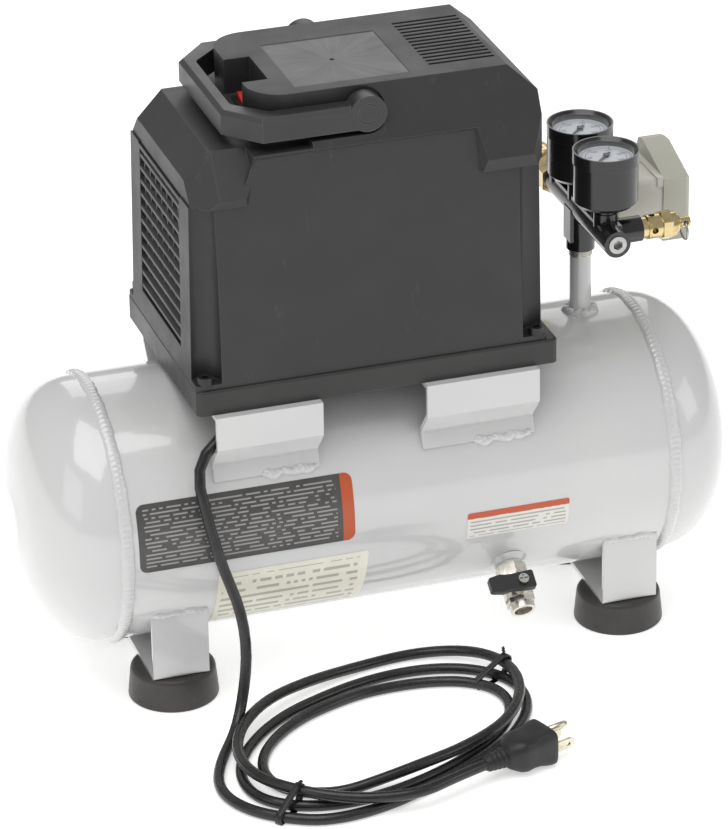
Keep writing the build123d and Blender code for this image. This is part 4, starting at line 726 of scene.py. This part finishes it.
LABEL_DARK = make_label("label_dark", srgb(66, 64, 63), srgb(176), srgb(190, 84, 44),
    17, 60, right_strip, 0.92)
LABEL_CREAM = make_label("label_cream", srgb(238, 236, 220), srgb(150, 148, 136), srgb(238, 236, 220),
    8, 40, right_strip, 0.97)
LABEL_DRAIN = make_label("label_drain", srgb(236, 234, 228), srgb(140, 138, 132), srgb(200, 84, 42),
    7, 26, top_strip, 0.97)
tank_label("label_left", -168.0, -33.0, -5.0, 25.0, 5.0, LABEL_DARK)
tank_label("label_lower", -119.0, -24.0, -50.0, -12.0, 2.0, LABEL_CREAM)
tank_label("label_drain", 39.0, 105.0, -15.0, -2.0, 1.5, LABEL_DRAIN)

# ---------------------------------------------------------------- gauge dials
DIAL_SWEEP = 270.0
DIAL_STEPS = 50
for place, y in GAUGES:
    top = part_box(f"gauge_{place}_dial")[1].z + 0.00012
    centre = Vector((RISER[0] * MM, at(0, y, 0).y, top))
    marks = bmesh.new()

    def mark(angle, r0, r1, wide):
        """One radial stroke of the printed scale."""
        a = math.radians(angle)
        out = Vector((math.cos(a), math.sin(a), 0))
        across = Vector((-out.y, out.x, 0)) * (wide / 2 * MM)
        start, end = centre + out * (r0 * MM), centre + out * (r1 * MM)
        corners = [start - across, end - across, end + across, start + across]
        marks.faces.new([marks.verts.new(c) for c in corners])

    for i in range(DIAL_STEPS + 1):
        angle = 225.0 - DIAL_SWEEP * i / DIAL_STEPS
        long = i % 10 == 0
        mark(angle, 13.0 if long else 14.2, 15.6, 0.55 if long else 0.25)
    for i in range(90):
        angle = 225.0 - DIAL_SWEEP * i / 90
        mark(angle - 1.5, 12.3, 12.6, 0.7)
    mesh = bpy.data.meshes.new(f"gauge_{place}_marks")
    marks.to_mesh(mesh)
    marks.free()
    piece(f"gauge_{place}_marks", mesh, PRINT)
    for i, number in enumerate(("0", "50", "100", "150", "200", "250")):
        a = math.radians(225.0 - DIAL_SWEEP * i / 5)
        text = bpy.data.curves.new(f"gauge_{place}_number_{i}", "FONT")
        text.body = number
        text.size = 3.0 * MM
        text.align_x = "CENTER"
        text.align_y = "CENTER"
        holder = bpy.data.objects.new("number", text)
        glyphs = bpy.data.meshes.new_from_object(holder)
        bpy.data.objects.remove(holder)
        glyphs.transform(Matrix.Translation(centre + Vector((math.cos(a), math.sin(a), 0)) * (9.9 * MM)))
        piece(f"gauge_{place}_number_{i}", glyphs, PRINT)

# ---------------------------------------------------------------- stage, lights, camera
floor_mesh = bpy.data.meshes.new("floor")
FLOOR_HALF = 9.0
floor_corners = [(-FLOOR_HALF, -FLOOR_HALF), (FLOOR_HALF, -FLOOR_HALF), (FLOOR_HALF, FLOOR_HALF),
    (-FLOOR_HALF, FLOOR_HALF)]
floor_mesh.from_pydata([(x, y, 0) for x, y in floor_corners], [], [(0, 1, 2, 3)])
floor = bpy.data.objects.new("floor", floor_mesh)
bpy.context.scene.collection.objects.link(floor)
floor_shader = Shader("floor_paper", 0.75, specular=0.2)
floor_shader.set("Base Color", (0.93, 0.93, 0.93, 1.0))
floor_shader.set("Emission Color", (1.0, 0.995, 0.985, 1.0))
floor_shader.set("Emission Strength", 0.5)
floor_mesh.materials.append(floor_shader.material)

world = bpy.data.worlds.new("studio")
bpy.context.scene.world = world
world.use_nodes = True
world.node_tree.nodes["Background"].inputs["Color"].default_value = (1.0, 1.0, 1.0, 1.0)
world.node_tree.nodes["Background"].inputs["Strength"].default_value = 0.42

AIM = at(0, 0, 150)  # what the lamps face
for name, place, size, power in (
    ("key_top", (-0.5, -0.5, 2.2), 1.8, 24.0),
    ("fill_left", (-2.2, -0.9, 1.1), 1.4, 5.0),
    ("fill_right", (1.9, -1.5, 1.3), 1.2, 6.0),
    ("rim_back", (0.6, 2.2, 1.5), 1.6, 9.0),
):
    light = bpy.data.lights.new(name, "AREA")
    light.shape = "SQUARE"
    light.size = size
    light.energy = power
    lamp = bpy.data.objects.new(name, light)
    lamp.location = place
    lamp.rotation_euler = (AIM - Vector(place)).to_track_quat("-Z", "Y").to_euler()
    bpy.context.scene.collection.objects.link(lamp)

CAMERA_AZIMUTH = math.radians(-17.68)
CAMERA_HEIGHT = math.radians(26.17)
CAMERA_ROLL = math.radians(-0.92)
CAMERA_FAR = 2.9196
CAMERA_AIM = at(0, 0, 142.5)
FOCAL_PX = 4723.93
LONG_SIDE_PX = 829.0
SENSOR = 36.0
level = math.cos(CAMERA_HEIGHT)
back = Vector((
    math.sin(CAMERA_AZIMUTH) * level, -math.cos(CAMERA_AZIMUTH) * level, math.sin(CAMERA_HEIGHT),
))
right = UP.cross(back).normalized()
upward = back.cross(right)
rolled_right = right * math.cos(CAMERA_ROLL) + upward * math.sin(CAMERA_ROLL)
rolled_up = upward * math.cos(CAMERA_ROLL) - right * math.sin(CAMERA_ROLL)
lens = bpy.data.cameras.new("camera")
lens.sensor_width = SENSOR
lens.lens = FOCAL_PX / LONG_SIDE_PX * SENSOR
lens.clip_start, lens.clip_end = 0.1, 50.0
camera = bpy.data.objects.new("camera", lens)
facing = Matrix((rolled_right, rolled_up, back)).transposed().to_4x4()
camera.matrix_world = Matrix.Translation(CAMERA_AIM + back * CAMERA_FAR) @ facing
bpy.context.scene.collection.objects.link(camera)
bpy.context.scene.camera = camera
bpy.context.scene.view_settings.view_transform = "Standard"
bpy.context.scene.view_settings.look = "None"
